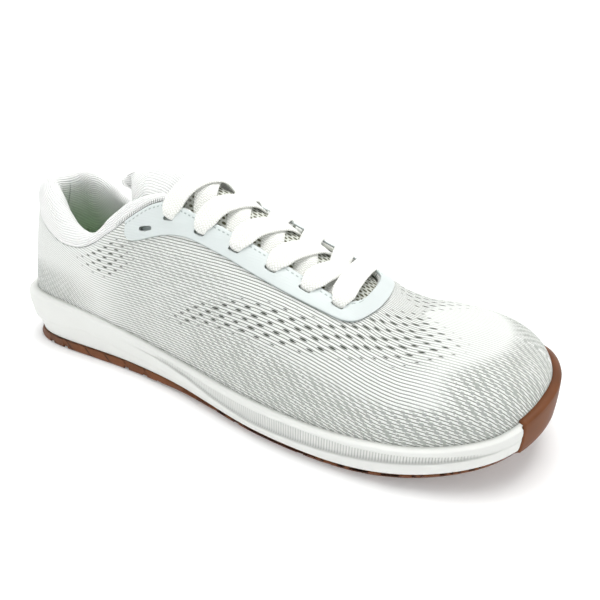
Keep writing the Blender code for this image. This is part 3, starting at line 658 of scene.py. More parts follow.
def ring(count, extra=()):
    """Shares and sides of the columns right round the shoe, lateral side first."""
    shares = np.unique(np.concatenate([share_of(np.linspace(0, 1, count)), list(extra)]))
    return (
        np.concatenate([shares, shares[-2:0:-1]]),
        np.concatenate([np.full(len(shares), LATERAL), np.full(len(shares) - 2, MEDIAL)]),
    )


def mesh_object(name, points, faces, facts=None, weld=1e-6):
    """A smooth-shaded object from points and faces, with each fact stored as a number per point."""
    mesh = bpy.data.meshes.new(name)
    mesh.from_pydata(points.tolist(), [], faces)
    for label, values in (facts or {}).items():
        data = mesh.attributes.new(label, "FLOAT", "POINT")
        data.data.foreach_set("value", np.ascontiguousarray(values, np.float32).ravel())
    form = bmesh.new()
    form.from_mesh(mesh)
    bmesh.ops.remove_doubles(form, verts=form.verts, dist=weld)
    bmesh.ops.dissolve_degenerate(form, edges=form.edges, dist=weld)
    bmesh.ops.recalc_face_normals(form, faces=form.faces)
    for face in form.faces:
        face.smooth = True
    form.to_mesh(mesh)
    form.free()
    obj = bpy.data.objects.new(name, mesh)
    bpy.context.scene.collection.objects.link(obj)
    return obj


def grid_faces(height, width, closed_across=False, closed_down=False, start=0):
    """Quads over a grid of points, row by row."""
    i = np.arange(height if closed_down else height - 1)[:, None]
    j = np.arange(width if closed_across else width - 1)[None, :]
    a, b = i * width, ((i + 1) % height) * width
    c, d = j, (j + 1) % width
    quads = np.stack(np.broadcast_arrays(a + c, a + d, b + d, b + c), -1).reshape(-1, 4)
    return (quads + start).tolist()


def cutter_object(name, form):
    mesh = bpy.data.meshes.new(name)
    form.to_mesh(mesh)
    form.free()
    cutter = bpy.data.objects.new(name, mesh)
    bpy.context.scene.collection.objects.link(cutter)
    return cutter


def apply_cut(obj, cutter, careful=False):
    """Cuts the cutter's shape out of the object and removes the cutter.

    The careful way is slow, and copes with a form that touches itself.
    """
    modifier = obj.modifiers.new("Cut", "BOOLEAN")
    modifier.operation = "DIFFERENCE"
    modifier.solver = "EXACT"
    modifier.use_self = careful
    modifier.use_hole_tolerant = careful
    modifier.object = cutter
    graph = bpy.context.evaluated_depsgraph_get()
    mesh = bpy.data.meshes.new_from_object(obj.evaluated_get(graph))
    obj.modifiers.clear()
    if not mesh.polygons:
        raise RuntimeError("the cut left nothing of " + obj.name)
    obj.data = mesh
    bpy.data.objects.remove(cutter)


def settle(obj, node_names, material):
    """Gives a piece its finish and its place: it rides on the root and stands for these nodes."""
    obj.data.materials.clear()
    obj.data.materials.append(material)
    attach(obj, "root")
    if node_names:
        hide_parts(*node_names)
    return obj


class Wire:
    """A number's socket. Arithmetic on it adds Math nodes."""

    def __init__(self, finish, socket):
        self.finish, self.socket = finish, socket

    def __add__(self, other):
        return self.finish.math("ADD", self, other)

    def __radd__(self, other):
        return self.finish.math("ADD", other, self)

    def __sub__(self, other):
        return self.finish.math("SUBTRACT", self, other)

    def __rsub__(self, other):
        return self.finish.math("SUBTRACT", other, self)

    def __mul__(self, other):
        return self.finish.math("MULTIPLY", self, other)

    def __rmul__(self, other):
        return self.finish.math("MULTIPLY", other, self)

    def __truediv__(self, other):
        return self.finish.math("DIVIDE", self, other)

    def __pow__(self, other):
        return self.finish.math("POWER", self, other)


class Finish:
    """A material and the nodes that make it."""

    def __init__(self, name, **fixed):
        self.material = bpy.data.materials.new(name)
        self.material.use_nodes = True
        self.tree = self.material.node_tree
        self.surface = self.tree.nodes["Principled BSDF"]
        for socket, value in fixed.items():
            self.surface.inputs[socket.replace("_", " ")].default_value = value

    def node(self, kind, settings=None, inputs=None):
        """A node of this type, its settings made first, then its sockets set or linked."""
        made = self.tree.nodes.new(kind)
        for name, value in (settings or {}).items():
            setattr(made, name, value)
        for name, value in (inputs or {}).items():
            self.feed(made.inputs[name], value)
        return made

    def feed(self, socket, value):
        if isinstance(value, Wire):
            self.tree.links.new(value.socket, socket)
        elif isinstance(value, bpy.types.NodeSocket):
            self.tree.links.new(value, socket)
        elif socket.type == "RGBA" and len(value) == 3:
            socket.default_value = (*value, 1)
        else:
            socket.default_value = value

    def math(self, operation, *values):
        inputs = dict(enumerate(values))
        made = self.node("ShaderNodeMath", {"operation": operation}, inputs)
        return Wire(self, made.outputs[0])

    def fact(self, name):
        made = self.node("ShaderNodeAttribute", {"attribute_name": name})
        return Wire(self, made.outputs["Fac"])

    def wave(self, value, pitch):
        """1 on each row and 0 half way between."""
        return self.math("COSINE", value * (2 * math.pi / pitch)) * 0.5 + 0.5

    def fraction(self, value):
        return self.math("FRACT", value)

    def floor(self, value):
        return self.math("FLOOR", value)

    def size(self, value):
        return self.math("ABSOLUTE", value)

    def most(self, a, b):
        return self.math("MAXIMUM", a, b)

    def rise(self, value, low, high):
        """0 below low, 1 above high, and smooth between. Low may be above high."""
        made = self.node(
            "ShaderNodeMapRange",
            {"interpolation_type": "SMOOTHSTEP"},
            {"Value": value, "From Min": low, "From Max": high},
        )
        return Wire(self, made.outputs["Result"])

    def place(self, a, b):
        made = self.node("ShaderNodeCombineXYZ", None, {0: a, 1: b, 2: 0.0})
        return made.outputs[0]

    def position(self):
        return self.node("ShaderNodeTexCoord").outputs["Object"]

    def noise(self, vector, scale, detail=2.0, roughness=0.5):
        made = self.node(
            "ShaderNodeTexNoise",
            None,
            {"Vector": vector, "Scale": scale, "Detail": detail, "Roughness": roughness},
        )
        return Wire(self, made.outputs["Fac"])

    def blend(self, factor, a, b):
        made = self.node(
            "ShaderNodeMix",
            {"data_type": "RGBA", "blend_type": "MIX"},
            {0: factor, 6: a, 7: b},
        )
        return made.outputs[2]

    def relief(self, height, distance, strength=1.0):
        """Sends a height in 0 to 1 to the surface's normal; the distance is in metres."""
        made = self.node(
            "ShaderNodeBump", None, {"Height": height, "Strength": strength, "Distance": distance}
        )
        self.feed(self.surface.inputs["Normal"], made.outputs[0])

    def colour(self, value):
        self.feed(self.surface.inputs["Base Color"], value)

    def roughness(self, value):
        self.feed(self.surface.inputs["Roughness"], value)


def knit_finish():
    """White rows over a grey-green ground, with longer openings where the knit lets air in."""
    tint, size = colours(), sizes()
    pitch = size.thread_pitch * 1000
    f = Finish("engineered_knit", Roughness=0.85, Sheen_Weight=0.15, Specular_IOR_Level=0.25)
    row, along, shade = f.fact("row"), f.fact("along"), f.fact("shade")
    wander = f.noise(f.place(along * 0.25, row * 0.25), 1.0) - 0.5
    row = row + wander * 0.35
    number = f.floor(row / pitch)
    thread = f.wave(row, pitch)
    loop = f.wave(along + number * 0.53, 1.05)
    ridge = f.rise(thread, 0.03, 0.38)
    dash = f.size(f.fraction(along / 4.6 + number * 0.29) - 0.5)
    patch = f.noise(f.place(along * 0.16, row * 0.22), 1.0, 2.0, 0.5)
    float_mask = f.rise(dash + (patch - 0.5) * 0.60, 0.30, 0.36) * f.fact("floats")
    cover = ridge * (1 - float_mask * 0.85)
    pair = row / (2 * pitch)
    step = f.floor(pair)
    cell = f.size(f.fraction(along / 7.6 + step * 0.46 + wander * 0.3) - 0.5) * 7.6
    across = f.size(f.fraction(pair) - 0.5) * (2 * pitch)
    open_size = f.fact("open")
    reach = open_size * 1.85
    lens = f.most(1 - (cell / (reach + 0.05)) ** 2, 0.0) * open_size * 0.44
    opening = f.rise(across - lens, 0.10, -0.16) * f.rise(open_size, 0.05, 0.3)
    # The ground runs from light where the shade fact is low, on top of the vamp and toe, to the
    # ground colour low on the sides, toe and heel, and the threads grey a little with it. This is
    # partly the knit's own darker zones, partly painted light on top and painted shade lower down.
    ground = f.blend(f.rise(shade, 0.0, 0.5), (0.60, 0.63, 0.59), tint.ground)
    ground = f.blend(float_mask, ground, tint.melange)
    speck = f.rise(f.noise(f.place(along, row), 1.3), 0.3, 0.7)
    white = f.blend(speck * 0.4, tint.thread, (0.84, 0.85, 0.82))
    white = f.blend(shade * 0.16, white, tint.melange)
    colour = f.blend(cover * (0.86 + loop * 0.14), ground, white)
    # Painted shade fills the openings; the surface has no holes there, only a bump.
    colour = f.blend(opening, colour, tint.opening)
    f.colour(colour)
    f.relief(cover * (0.7 + loop * 0.3) - opening * 0.8, 0.00045, 0.8)
    return f.material


def lining_finish():
    """Brushed lining that turns from white at the rim to green inside."""
    f = Finish("lining", Roughness=0.95)
    tint = colours()
    weave = f.noise(f.position(), 900.0, 2.0)
    deep = f.blend(f.rise(weave, 0.3, 0.7), shaded(tint.lining, 0.8), tint.lining)
    f.colour(f.blend(f.rise(f.fact("rim"), 0.72, 0.92), deep, (0.70, 0.71, 0.66)))
    f.relief(weave, 0.0004, 0.5)
    return f.material


def film_finish():
    """Smooth welded film, faintly ribbed, with a row of stitches beside the throat."""
    f = Finish("welded_film", Roughness=0.42)
    tint = colours()
    row, along, side = f.fact("row"), f.fact("along"), f.fact("edge")
    rib = f.wave(row, sizes().thread_pitch * 1000)
    cloud = f.noise(f.position(), 60.0, 3.0)
    shade = f.blend(f.rise(cloud, 0.3, 0.7) * 0.35, tint.film, shaded(tint.film, 0.92))
    stitch = f.rise(f.size(side - 2.1), 0.42, 0.22)
    dash = stitch * f.rise(f.size(f.fraction(along / 2.2) - 0.5), 0.30, 0.20)
    shade = f.blend(dash * 0.75, shade, (0.24, 0.29, 0.28))
    # Painted shade darkens the film within half a millimetre of the throat edge, and a painted
    # shadow line runs along its outer edge where it meets the knit.
    shade = f.blend(f.rise(side, 0.0, 0.5), (0.50, 0.55, 0.54), shade)
    f.colour(f.blend(f.rise(f.fact("outer"), 0.02, 0.42), (0.26, 0.30, 0.29), shade))
    f.roughness(0.38 + f.rise(cloud, 0.2, 0.8) * 0.12)
    f.relief(rib * 0.25 - dash * 0.5 + cloud * 0.2, 0.00022, 0.6)
    return f.material


def cuff_finish(name):
    """Ribbed knit over padding, white outside and green-tinted where it lines the shoe."""
    f = Finish(name, Roughness=0.9, Sheen_Weight=0.2, Specular_IOR_Level=0.2)
    tint = colours()
    rib, along, inside = f.fact("rib"), f.fact("along"), f.fact("inside")
    wander = f.noise(f.place(along * 0.12, rib * 0.12), 1.0) - 0.5
    line = f.wave(rib + wander * 0.8, 1.25)
    purl = f.wave(along + f.floor(rib / 1.25) * 0.5, 1.2)
    fuzz = f.noise(f.position(), 1400.0, 2.0)
    # Painted shade: the white knit is darker in the grooves between its ribs. The green lining is
    # darker in its grooves and lighter on its ribs as painted light.
    white = f.blend(f.rise(line, 0.05, 0.6), shaded(tint.cuff, 0.76), tint.cuff)
    white = f.blend(f.rise(fuzz, 0.4, 0.7) * 0.2, white, shaded(tint.cuff, 0.86))
    dark, light = shaded(tint.lining, 0.85), shaded(tint.lining, 1.15)
    green = f.blend(f.rise(line, 0.1, 0.7), dark, light)
    shade = f.blend(f.rise(inside, 0.0, 1.0), white, green)
    comb = f.rise(f.size(f.fraction(along / 1.15) - 0.5), 0.24, 0.14) * f.rise(rib, 1.7, 1.3)
    comb = comb * f.fact("stitched")
    seam = f.rise(f.size(f.fact("from_heel")), 0.8, 0.3) * f.rise(inside, 0.05, 0.3)
    shade = f.blend(f.most(comb * 0.8, seam * 0.45), shade, (0.13, 0.15, 0.13))
    f.colour(shade)
    f.relief(line * (0.75 + purl * 0.25) + fuzz * 0.15 - seam * 0.5, 0.0005, 0.75)
    return f.material


def tongue_finish():
    """Ribbed knit at the top, and spacer mesh with dark holes between the laces."""
    f = Finish("tongue_knit", Roughness=0.9, Sheen_Weight=0.15, Specular_IOR_Level=0.2)
    tint = colours()
    across, along, mesh = f.fact("across"), f.fact("along"), f.fact("mesh")
    line = f.wave(across, 1.35)
    a, b = along / 3.0, across / 2.3
    odd = f.fraction(f.floor(b) * 0.5)
    u, v = f.fraction(a + odd) - 0.5, f.fraction(b) - 0.5
    hole = f.rise(u * u * 5.2 + v * v * 7.5, 0.85, 0.50) * mesh
    fuzz = f.noise(f.position(), 1300.0, 2.0)
    # Painted shade darkens the grooves between the ribs.
    rib_mask = f.rise(line, 0.05, 0.55)
    base = f.blend(rib_mask, shaded(tint.cuff, 0.76), tint.cuff)
    base = f.blend(mesh, base, (0.62, 0.64, 0.58))
    base = f.blend(f.rise(fuzz, 0.4, 0.7) * 0.2, base, shaded(tint.cuff, 0.84))
    # The holes are painted shade: dark colour where the mesh opens, which is only a bump in the
    # surface.
    f.colour(f.blend(hole, base, (0.105, 0.105, 0.062)))
    f.relief(line * (1 - mesh) + fuzz * 0.15 - hole, 0.0006, 0.7)
    return f.material


def foam_finish():
    """Matt moulded foam with a fine skin, and painted shade in the gaps between its ribs."""
    f = Finish("moulded_foam", Roughness=0.62)
    tint = colours()
    grain = f.noise(f.position(), 1800.0, 2.0)
    cloud = f.noise(f.position(), 45.0, 3.0)
    shade = f.blend(f.rise(cloud, 0.35, 0.75) * 0.25, tint.foam, shaded(tint.foam, 0.93))
    # Painted shade darkens the gaps between the ribs.
    f.colour(f.blend(f.fact("gap") * 0.72, shade, (0.34, 0.36, 0.34)))
    f.roughness(0.55 + f.rise(cloud, 0.2, 0.8) * 0.15)
    f.relief(grain, 0.00008, 0.5)
    return f.material


def gum_finish():
    """Gum rubber: matt brown, lighter where it has rubbed, with a fine tread underneath."""
    f = Finish("gum_rubber", Roughness=0.6, Specular_IOR_Level=0.18)
    tint = colours()
    cloud = f.noise(f.position(), 38.0, 4.0, 0.6)
    grain = f.noise(f.position(), 1500.0, 2.0)
    light, dark = shaded(tint.gum, 1.25), shaded(tint.gum, 0.80)
    # Painted shade: dark slanted lines in the lug grooves on the gum's side wall, which are only a
    # bump there.
    lug = f.size(f.fraction((f.fact("along") + f.fact("height") * 1.6) / 14.5) - 0.5)
    lug = f.rise(lug, 0.075, 0.035) * f.fact("wall")
    base = f.blend(f.rise(cloud, 0.3, 0.7), dark, light)
    f.colour(f.blend(lug * 0.75, base, shaded(tint.gum, 0.25)))
    under, along, across = f.fact("under"), f.fact("along"), f.fact("across")
    tread = f.most(f.wave(along + across * 0.6, 2.6), f.wave(along - across * 0.6, 2.6)) * under
    f.roughness(0.45 + f.rise(cloud, 0.2, 0.8) * 0.2)
    f.relief(tread * 0.9 + grain * 0.06 - lug * 0.9, 0.0005, 0.6)
    return f.material


def lace_finish():
    """Flat woven lace with a fine herringbone."""
    f = Finish("woven_lace", Roughness=0.85, Sheen_Weight=0.15, Specular_IOR_Level=0.25)
    tint = colours()
    across, along = f.fact("across"), f.fact("along")
    lean = f.size(f.fraction(across / 2.4) - 0.5) * 2.2
    weave = f.wave(along + lean, 1.35)
    wale = f.wave(across, 1.2)
    thread = f.rise(weave, 0.15, 0.7) * (0.6 + wale * 0.4)
    fuzz = f.noise(f.position(), 1500.0, 2.0)
    # Painted shade darkens the gaps between the threads.
    colour = f.blend(thread, (0.72, 0.73, 0.68), tint.lace)
    f.colour(f.blend(f.rise(fuzz, 0.4, 0.7) * 0.15, colour, (0.74, 0.75, 0.70)))
    f.relief(thread + fuzz * 0.1, 0.00035, 0.6)
    return f.material


def insole_finish():
    """Brushed cloth in the lining's green tint."""
    f = Finish("insole_cloth", Roughness=0.95)
    tint = colours()
    weave = f.noise(f.position(), 1100.0, 2.0)
    f.colour(f.blend(f.rise(weave, 0.3, 0.7), tint.lining, shaded(tint.lining, 1.1)))
    f.relief(weave, 0.0004, 0.5)
    return f.material


def zone(table, share, rows):
    """How open the knit is: 1 in the middle of the zone and 0 outside it."""
    low = steady_curve(column(table, 0), column(table, 1))(share)
    high = steady_curve(column(table, 0), column(table, 2))(share)
    ends = smooth_step(share, table[0][0] - 0.01, table[0][0] + 0.09)
    ends = ends * smooth_step(-share, -table[-1][0] - 0.01, -table[-1][0] + 0.10)
    middle, half = (low + high) / 2, (high - low) / 2
    return smooth_step(1.25 - np.abs(rows - middle) / half, 0.0, 0.75) * ends


def studio_sheet():
    """A round paper floor that curves up into a low wall."""
    profile = [(0.0001, 0.0), (0.3, 0.0), (0.6, 0.0), (1.0, 0.0)]
    for turn in np.linspace(0.1, 1, 9) * QUARTER_TURN:
        profile.append((1.0 + 0.5 * math.sin(turn), 0.5 - 0.5 * math.cos(turn)))
    profile.append((1.5, 0.9))
    r, z = np.array(profile).T
    turn = np.linspace(0, 2 * np.pi, 64, endpoint=False)
    x, y = r[:, None] * np.cos(turn) + 0.1, r[:, None] * np.sin(turn)
    points = np.stack(np.broadcast_arrays(x, y, z[:, None]), -1)
    points[..., 2] -= 0.0002
    faces = grid_faces(len(r), 64, closed_across=True)
    return mesh_object("studio_sheet", points.reshape(-1, 3), faces)


class SHOE_OT_stage(bpy.types.Operator):
    """Sets the camera, the pale floor that glows as painted light, and the soft studio light"""

    bl_idname = "shoe.stage"
    bl_label = "Stage"

    def execute(self, context):
        scene = context.scene
        azimuth, elevation, roll = math.radians(24.0), math.radians(26.6), math.radians(0.6)
        back = Vector(
            (
                math.sin(azimuth) * math.cos(elevation),
                -math.cos(azimuth) * math.cos(elevation),
                math.sin(elevation),
            )
        )
        right = Vector((math.cos(azimuth), math.sin(azimuth), 0))
        up = back.cross(right)
        rolled_right = math.cos(roll) * right + math.sin(roll) * up
        rolled_up = -math.sin(roll) * right + math.cos(roll) * up
        camera = bpy.data.cameras.new("camera")
        camera.sensor_width, camera.lens = 36, 26.58
        camera.clip_start = 0.01
        eye = bpy.data.objects.new("camera", camera)
        turn = Matrix((rolled_right, rolled_up, back)).transposed().to_4x4()
        turn.translation = Vector((0.1313, 0, 0.0432)) + back * 0.216
        eye.matrix_world = turn
        scene.collection.objects.link(eye)
        scene.camera = eye
        scene.view_settings.view_transform = "Standard"
        floor = studio_sheet()
        paper = Finish("glowing_paper", Roughness=0.9, Emission_Strength=1.0)
        away = paper.node(
            "ShaderNodeVectorMath", {"operation": "LENGTH"}, {0: paper.position()}
        )
        away = Wire(paper, away.outputs["Value"])
        paper.colour((0.90, 0.90, 0.90))
        # The paper glows: its emission is painted light, dim near the shoe and brighter toward the
        # wall, lighting the shoe from low angles and whitening the backdrop.
        glow = paper.blend(paper.rise(away, 0.30, 0.95), (0.10, 0.10, 0.10), (0.44, 0.44, 0.44))
        paper.feed(paper.surface.inputs["Emission Color"], glow)
        floor.data.materials.append(paper.material)
        world = bpy.data.worlds.new("studio")
        world.use_nodes = True
        world.node_tree.nodes["Background"].inputs["Color"].default_value = (0.97, 0.985, 1.0, 1)
        world.node_tree.nodes["Background"].inputs["Strength"].default_value = 0.42
        scene.world = world
        for name, place, target, size, power, tint in (
            ("key", (0.12, 0.14, 0.90), (0.10, 0, 0.03), 0.6, 7.4, (1.0, 0.995, 0.98)),
            ("front", (0.55, -0.75, 0.55), (0.12, 0, 0.03), 0.6, 0.5, (1.0, 1.0, 1.0)),
            ("heel_side", (-0.6, -0.35, 0.5), (0.05, 0, 0.04), 0.5, 0.5, (0.98, 1.0, 1.0)),
        ):
            light = bpy.data.lights.new(name, "AREA")
            light.size, light.energy, light.color = size, power, tint
            lamp = bpy.data.objects.new(name, light)
            lamp.location = place
            toward = Vector(target) - Vector(place)
            lamp.rotation_euler = toward.to_track_quat("-Z", "Y").to_euler()
            scene.collection.objects.link(lamp)
        return {"FINISHED"}


class SHOE_OT_upper(bpy.types.Operator):
    """Knits the upper: one wall from the foot's edge to the collar and the throat"""

    bl_idname = "shoe.upper"
    bl_label = "Upper"

    def execute(self, context):
        last = the_last()
        share, side = ring(260, np.linspace(0.684, THROAT_END, 16))
        top = np.where(share >= THROAT_END, QUARTER_TURN, last.top_line(share))
        calm = np.where(share < 0.692, last.top_line(share), last.top_line(0.692))
        calm = calm + (QUARTER_TURN - calm) * np.clip((share - 0.692) / 0.16, 0, 1)
        wall = last.sizes.upper_wall
        profile = [(t, 0.0) for t in np.linspace(0, 1, 84)]
        profile += [(1.0, wall * 0.5), (1.0, wall)]
        profile += [(t, wall) for t in np.linspace(1, 0, 26)[1:]]
        profile += [(0.0, wall * 0.5)]
        rows, angles = [], []
        for t, depth in profile:
            follow = np.clip((t - 0.6) / 0.4, 0, 1)
            angle = t * (calm + (top - calm) * follow)
            swell = last.relief(share, side, angle) * (depth == 0) * smooth_step(t, 0.02, 0.12)
            rim = (1 - smooth_step(1 - t, 0, 0.03)) * (depth == 0) * (share < THROAT_END)
            rows.append(last.layer(share, side, angle, depth + swell + rim * 0.0002))
            angles.append(angle)
        grid, angle = np.array(rows), np.array(angles)
        shares, sides = np.broadcast_to(share, angle.shape), np.broadcast_to(side, angle.shape)
        row = last.rows(shares, sides, angle)
        outside = np.array([depth == 0 for _, depth in profile])
        reach = angle / QUARTER_TURN
        # The shade fact sets how dark the knit's ground is: highest low on the sides, round the toe
        # and heel and on the quarter. It is partly the knit's own darker zones, partly painted
        # shade lower down and painted light higher up.
        low_zone = 1 - smooth_step(reach, 0.16, 0.42)
        toe_zone = smooth_step(shares, 0.80, 0.97) * (1 - smooth_step(reach, 0.44, 0.74))
        heel_zone = (1 - smooth_step(shares, 0.02, 0.34)) * (1 - smooth_step(reach, 0.18, 0.34))
        heel_zone = heel_zone * 0.8
        side_zone = low_zone * smooth_step(shares, 0.30, 0.62)
        quarter = 0.38 * (1 - smooth_step(reach, 0.45, 0.62)) * smooth_step(shares, 0.22, 0.34)
        quarter = quarter * (1 - smooth_step(shares, 0.50, 0.62))
        gaps = 0.12 + 0.33 * smooth_step(shares, 0.20, 0.34) * (1 - smooth_step(shares, 0.76, 0.92))
        shade = np.maximum.reduce([side_zone, toe_zone, heel_zone, quarter, gaps + 0 * reach])
        floats = smooth_step(np.maximum.reduce([side_zone, toe_zone, heel_zone, quarter]), 0.1, 0.7)
        open_size = np.maximum(zone(OPEN_SIDE, shares, row), zone(OPEN_ANKLE, shares, row))
        facts = {
            "row": row - row[83, np.argmax(share)],
            "along": grid[..., 0] * 1000,
            "shade": shade,
            "floats": floats,
            "open": open_size,
            "rim": np.broadcast_to(np.array([t for t, _ in profile])[:, None], row.shape),
        }
        height, width = grid.shape[:2]
        faces = np.array(grid_faces(height, width, closed_across=True, closed_down=True))
        level, place = faces[:, 0] // width, faces % width
        shut = (share[place] >= THROAT_END).all(1) & (level >= 83) & (level <= 84)
        obj = mesh_object("knit_upper", grid.reshape(-1, 3), faces[~shut].tolist(), facts)
        apply_cut(obj, slot_cutter(last, -0.005, 0.004))
        settle(obj, ["upper"], knit_finish())
        obj.data.materials.append(lining_finish())
        paint_inside(obj, last)
        return {"FINISHED"}


def paint_inside(obj, last):
    """Gives the faces that look inward the lining."""
    mesh = obj.data
    centre = Vector((0.10, 0, 0.03))
    for face in mesh.polygons:
        x = min(max(face.center.x, 0.0), 0.19)
        toward = Vector((x, 0, centre.z)) - face.center
        face.material_index = 1 if toward.dot(face.normal) > 0.0005 else 0


def slot_frames(last):
    """Where each lace slot is: centre, direction along the throat, outward direction."""
    frames = []
    for share, half in SLOTS:
        for side in (LATERAL, MEDIAL):
            y = side * half * last.sizes.ball_width
            measured = y if share > SLOTS[0][0] else -abs(y)
            points = []
            for at in (share - 0.01, share, share + 0.01):
                angle = last.angle_at_width(at, measured)[1]
                points.append(last.skin(at, side, angle))
            angle = last.angle_at_width(share, measured)[1]
            out = last.normal(np.array(share), side, angle)
            along = points[2] - points[0]
            along = along / np.linalg.norm(along)
            out = out - along * np.dot(out, along)
            frames.append((points[1], along, out / np.linalg.norm(out)))
    return frames


def slot_cutter(last, low, high):
    """A rounded bar through every lace slot."""
    form = bmesh.new()
    for number, (centre, along, out) in enumerate(slot_frames(last)):
        across = np.cross(out, along)
        half = EMPTY_SLOT_HALF if number < 2 else SLOT_HALF
        turns = np.linspace(0, 2 * np.pi, 24, endpoint=False)
        a = np.sign(np.cos(turns)) * np.abs(np.cos(turns)) ** 0.6 * half
        b = np.sign(np.sin(turns)) * np.abs(np.sin(turns)) ** 0.6 * SLOT_HALF_WIDTH
        ends = []
        for reach in (low, high):
            loop = centre + along * a[:, None] + across * b[:, None] + out * reach
            ends.append([form.verts.new(p) for p in loop])
        form.faces.new(ends[0][::-1])
        form.faces.new(ends[1])
        for i in range(24):
            j = (i + 1) % 24
            form.faces.new([ends[0][i], ends[0][j], ends[1][j], ends[1][i]])
    bmesh.ops.recalc_face_normals(form, faces=form.faces)
    return cutter_object("slot_cutter", form)


class SHOE_OT_eyestay(bpy.types.Operator):
    """Welds the film round the throat and cuts its lace slots"""

    bl_idname = "shoe.eyestay"
    bl_label = "Eyestay"

    def execute(self, context):
        last = the_last()
        outer_edge = steady_curve(column(EYESTAY, 0), column(EYESTAY, 1) * QUARTER_TURN)
        shares = np.concatenate(
            [
                np.linspace(EYESTAY[0][0], 0.330, 16),
                np.linspace(0.332, 0.70, 150),
                np.linspace(0.702, EYESTAY[-1][0], 46),
                [THROAT_END],
            ]
        )
        shares = np.unique(shares)
        low = outer_edge(shares)
        high = last.top_line(shares) * (1 - EYESTAY_MARGIN)
        high = np.where(shares >= THROAT_END - 1e-9, QUARTER_TURN, high)
        across = smooth_step(np.linspace(0, 1, 26), 0, 1)
        points, faces, facts = [], [], {"row": [], "along": [], "edge": [], "outer": []}
        for side in (LATERAL, MEDIAL):
            angle = low[:, None] + np.maximum(high - low, 0)[:, None] * across
            s = np.broadcast_to(shares[:, None], angle.shape)
            sides = np.full(angle.shape, side)
            flat = last.skin(s, sides, angle)
            width = run_along(flat, 1)
            inner = width[:, -1:] - width
            inner = np.where(s >= THROAT_END - 1e-9, 0.02, inner)
            edge = np.minimum(width, inner)
            start = np.maximum((s - shares[0]) * last.sizes.length, 0)
            edge = np.minimum(edge, start)
            outer = np.where(s >= THROAT_END - 1e-9, width, np.minimum(width, start))
            roll = np.sqrt(np.clip(1 - (1 - np.clip(edge / 0.0006, 0, 1)) ** 2, 0, 1))
            for lift, kind in ((FILM_GAP + EYESTAY_WALL * roll, 0), (FILM_GAP * 0.5 + 0 * roll, 1)):
                grid = last.layer(s, sides, angle, -lift)
                count = sum(len(p) for p in points)
                points.append(grid.reshape(-1, 3))
                faces += grid_faces(*grid.shape[:2], start=count)
                facts["row"].append(last.rows(s, sides, angle).ravel())
                facts["along"].append(grid[..., 0].ravel() * 1000)
                facts["edge"].append((inner if kind == 0 else 0 * inner + 9).ravel() * 1000)
                facts["outer"].append((outer if kind == 0 else 0 * outer + 9).ravel() * 1000)
        facts = {k: np.concatenate(v) for k, v in facts.items()}
        obj = mesh_object("film_eyestay", np.concatenate(points), faces, facts)
        apply_cut(obj, slot_cutter(last, -0.001, 0.004))
        settle(obj, ["eyestay"], film_finish())
        return {"FINISHED"}


class SHOE_OT_collar(bpy.types.Operator):
    """Pads and ribs the collar, and lines the inside of the heel"""

    bl_idname = "shoe.collar"
    bl_label = "Collar"

    def execute(self, context):
        last = the_last()
        heel_height = HEEL_HEIGHT_SHARE * last.sizes.instep_height
        rim = steady_curve(column(COLLAR, 0), column(COLLAR, 1) * heel_height)
        padding = steady_curve(column(COLLAR, 0), column(COLLAR, 2) * last.sizes.instep_height)
        end = COLLAR[-1][0]
        shares = np.unique(np.append(share_of(np.linspace(0, turn_of(end), 150)), end))
        share = np.concatenate([shares[:0:-1], shares])
        side = np.concatenate([np.full(len(shares) - 1, LATERAL), np.full(len(shares), MEDIAL)])
        seam = last.top_line(share)
        seam_height = last.skin(share, side, seam)[:, 2]
        pad, rise = padding(share), rim(share) - seam_height
        step = 0.02
        span = last.skin(share, side, seam + step) - last.skin(share, side, seam - step)
        rate = 2 * step / np.linalg.norm(span, axis=-1)
        wall = last.sizes.upper_wall + CUP_GAP
        fade = np.clip((end - share) / 0.10, 0.30, 1)
        control = []
        for inward, up in CUFF_ABOVE:
            angle = last.angle_at_height(share, seam_height + np.maximum(up * rise, GAP))
            angle = np.maximum(angle, seam + GAP * rate)
            control.append(last.layer(share, side, angle, inward * pad))
        for inward, down in CUFF_BELOW:
            depth = wall + CUFF_LINING + np.maximum(pad - wall - CUFF_LINING, 0) * inward
            control.append(last.layer(share, side, seam - down * CUFF_DEPTH * fade * rate, depth))
        for down in (1.0, 0.5, 0.0):
            control.append(last.layer(share, side, seam - down * CUFF_DEPTH * fade * rate, wall))
        control.append(last.layer(share, side, seam + GAP * rate, wall))
        control = np.array(control)
        round_part = np.linspace(0, 10, 78)
        index = np.arange(11.0)
        rounded = []
        for j in range(control.shape[1]):
            ways = [smooth_curve(index, control[:11, j, k])(round_part) for k in range(3)]
            rounded.append(np.stack(ways, -1))
        rounded = np.stack(rounded, 1)
        grid = np.concatenate([rounded, control[11:]])
        arc, along = run_along(grid, 0), run_along(grid[20], 0)
        level = [0, 30, 46, 60, 77, len(grid)]
        inside = np.interp(np.arange(len(grid)), level, [0, 0, 0.12, 0.55, 1, 1])
        facts = {
            "rib": arc * 1000,
            "along": np.broadcast_to(along * 1000, arc.shape),
            "inside": np.broadcast_to(inside[:, None], arc.shape),
            "from_heel": np.broadcast_to((along - along[len(shares) - 1]) * 1000, arc.shape),
            "stitched": np.broadcast_to(
                smooth_step(share, 0.285, 0.30) * (1 - smooth_step(share, 0.375, 0.39)), arc.shape
            ),
        }
        height, width = grid.shape[:2]
        faces = grid_faces(height, width, closed_down=True)
        faces.append([i * width for i in range(height)])
        faces.append([i * width + width - 1 for i in range(height)][::-1])
        obj = mesh_object("padded_collar", grid.reshape(-1, 3), faces, facts)
        settle(obj, ["collar"], cuff_finish("cuff_knit"))
        return {"FINISHED"}


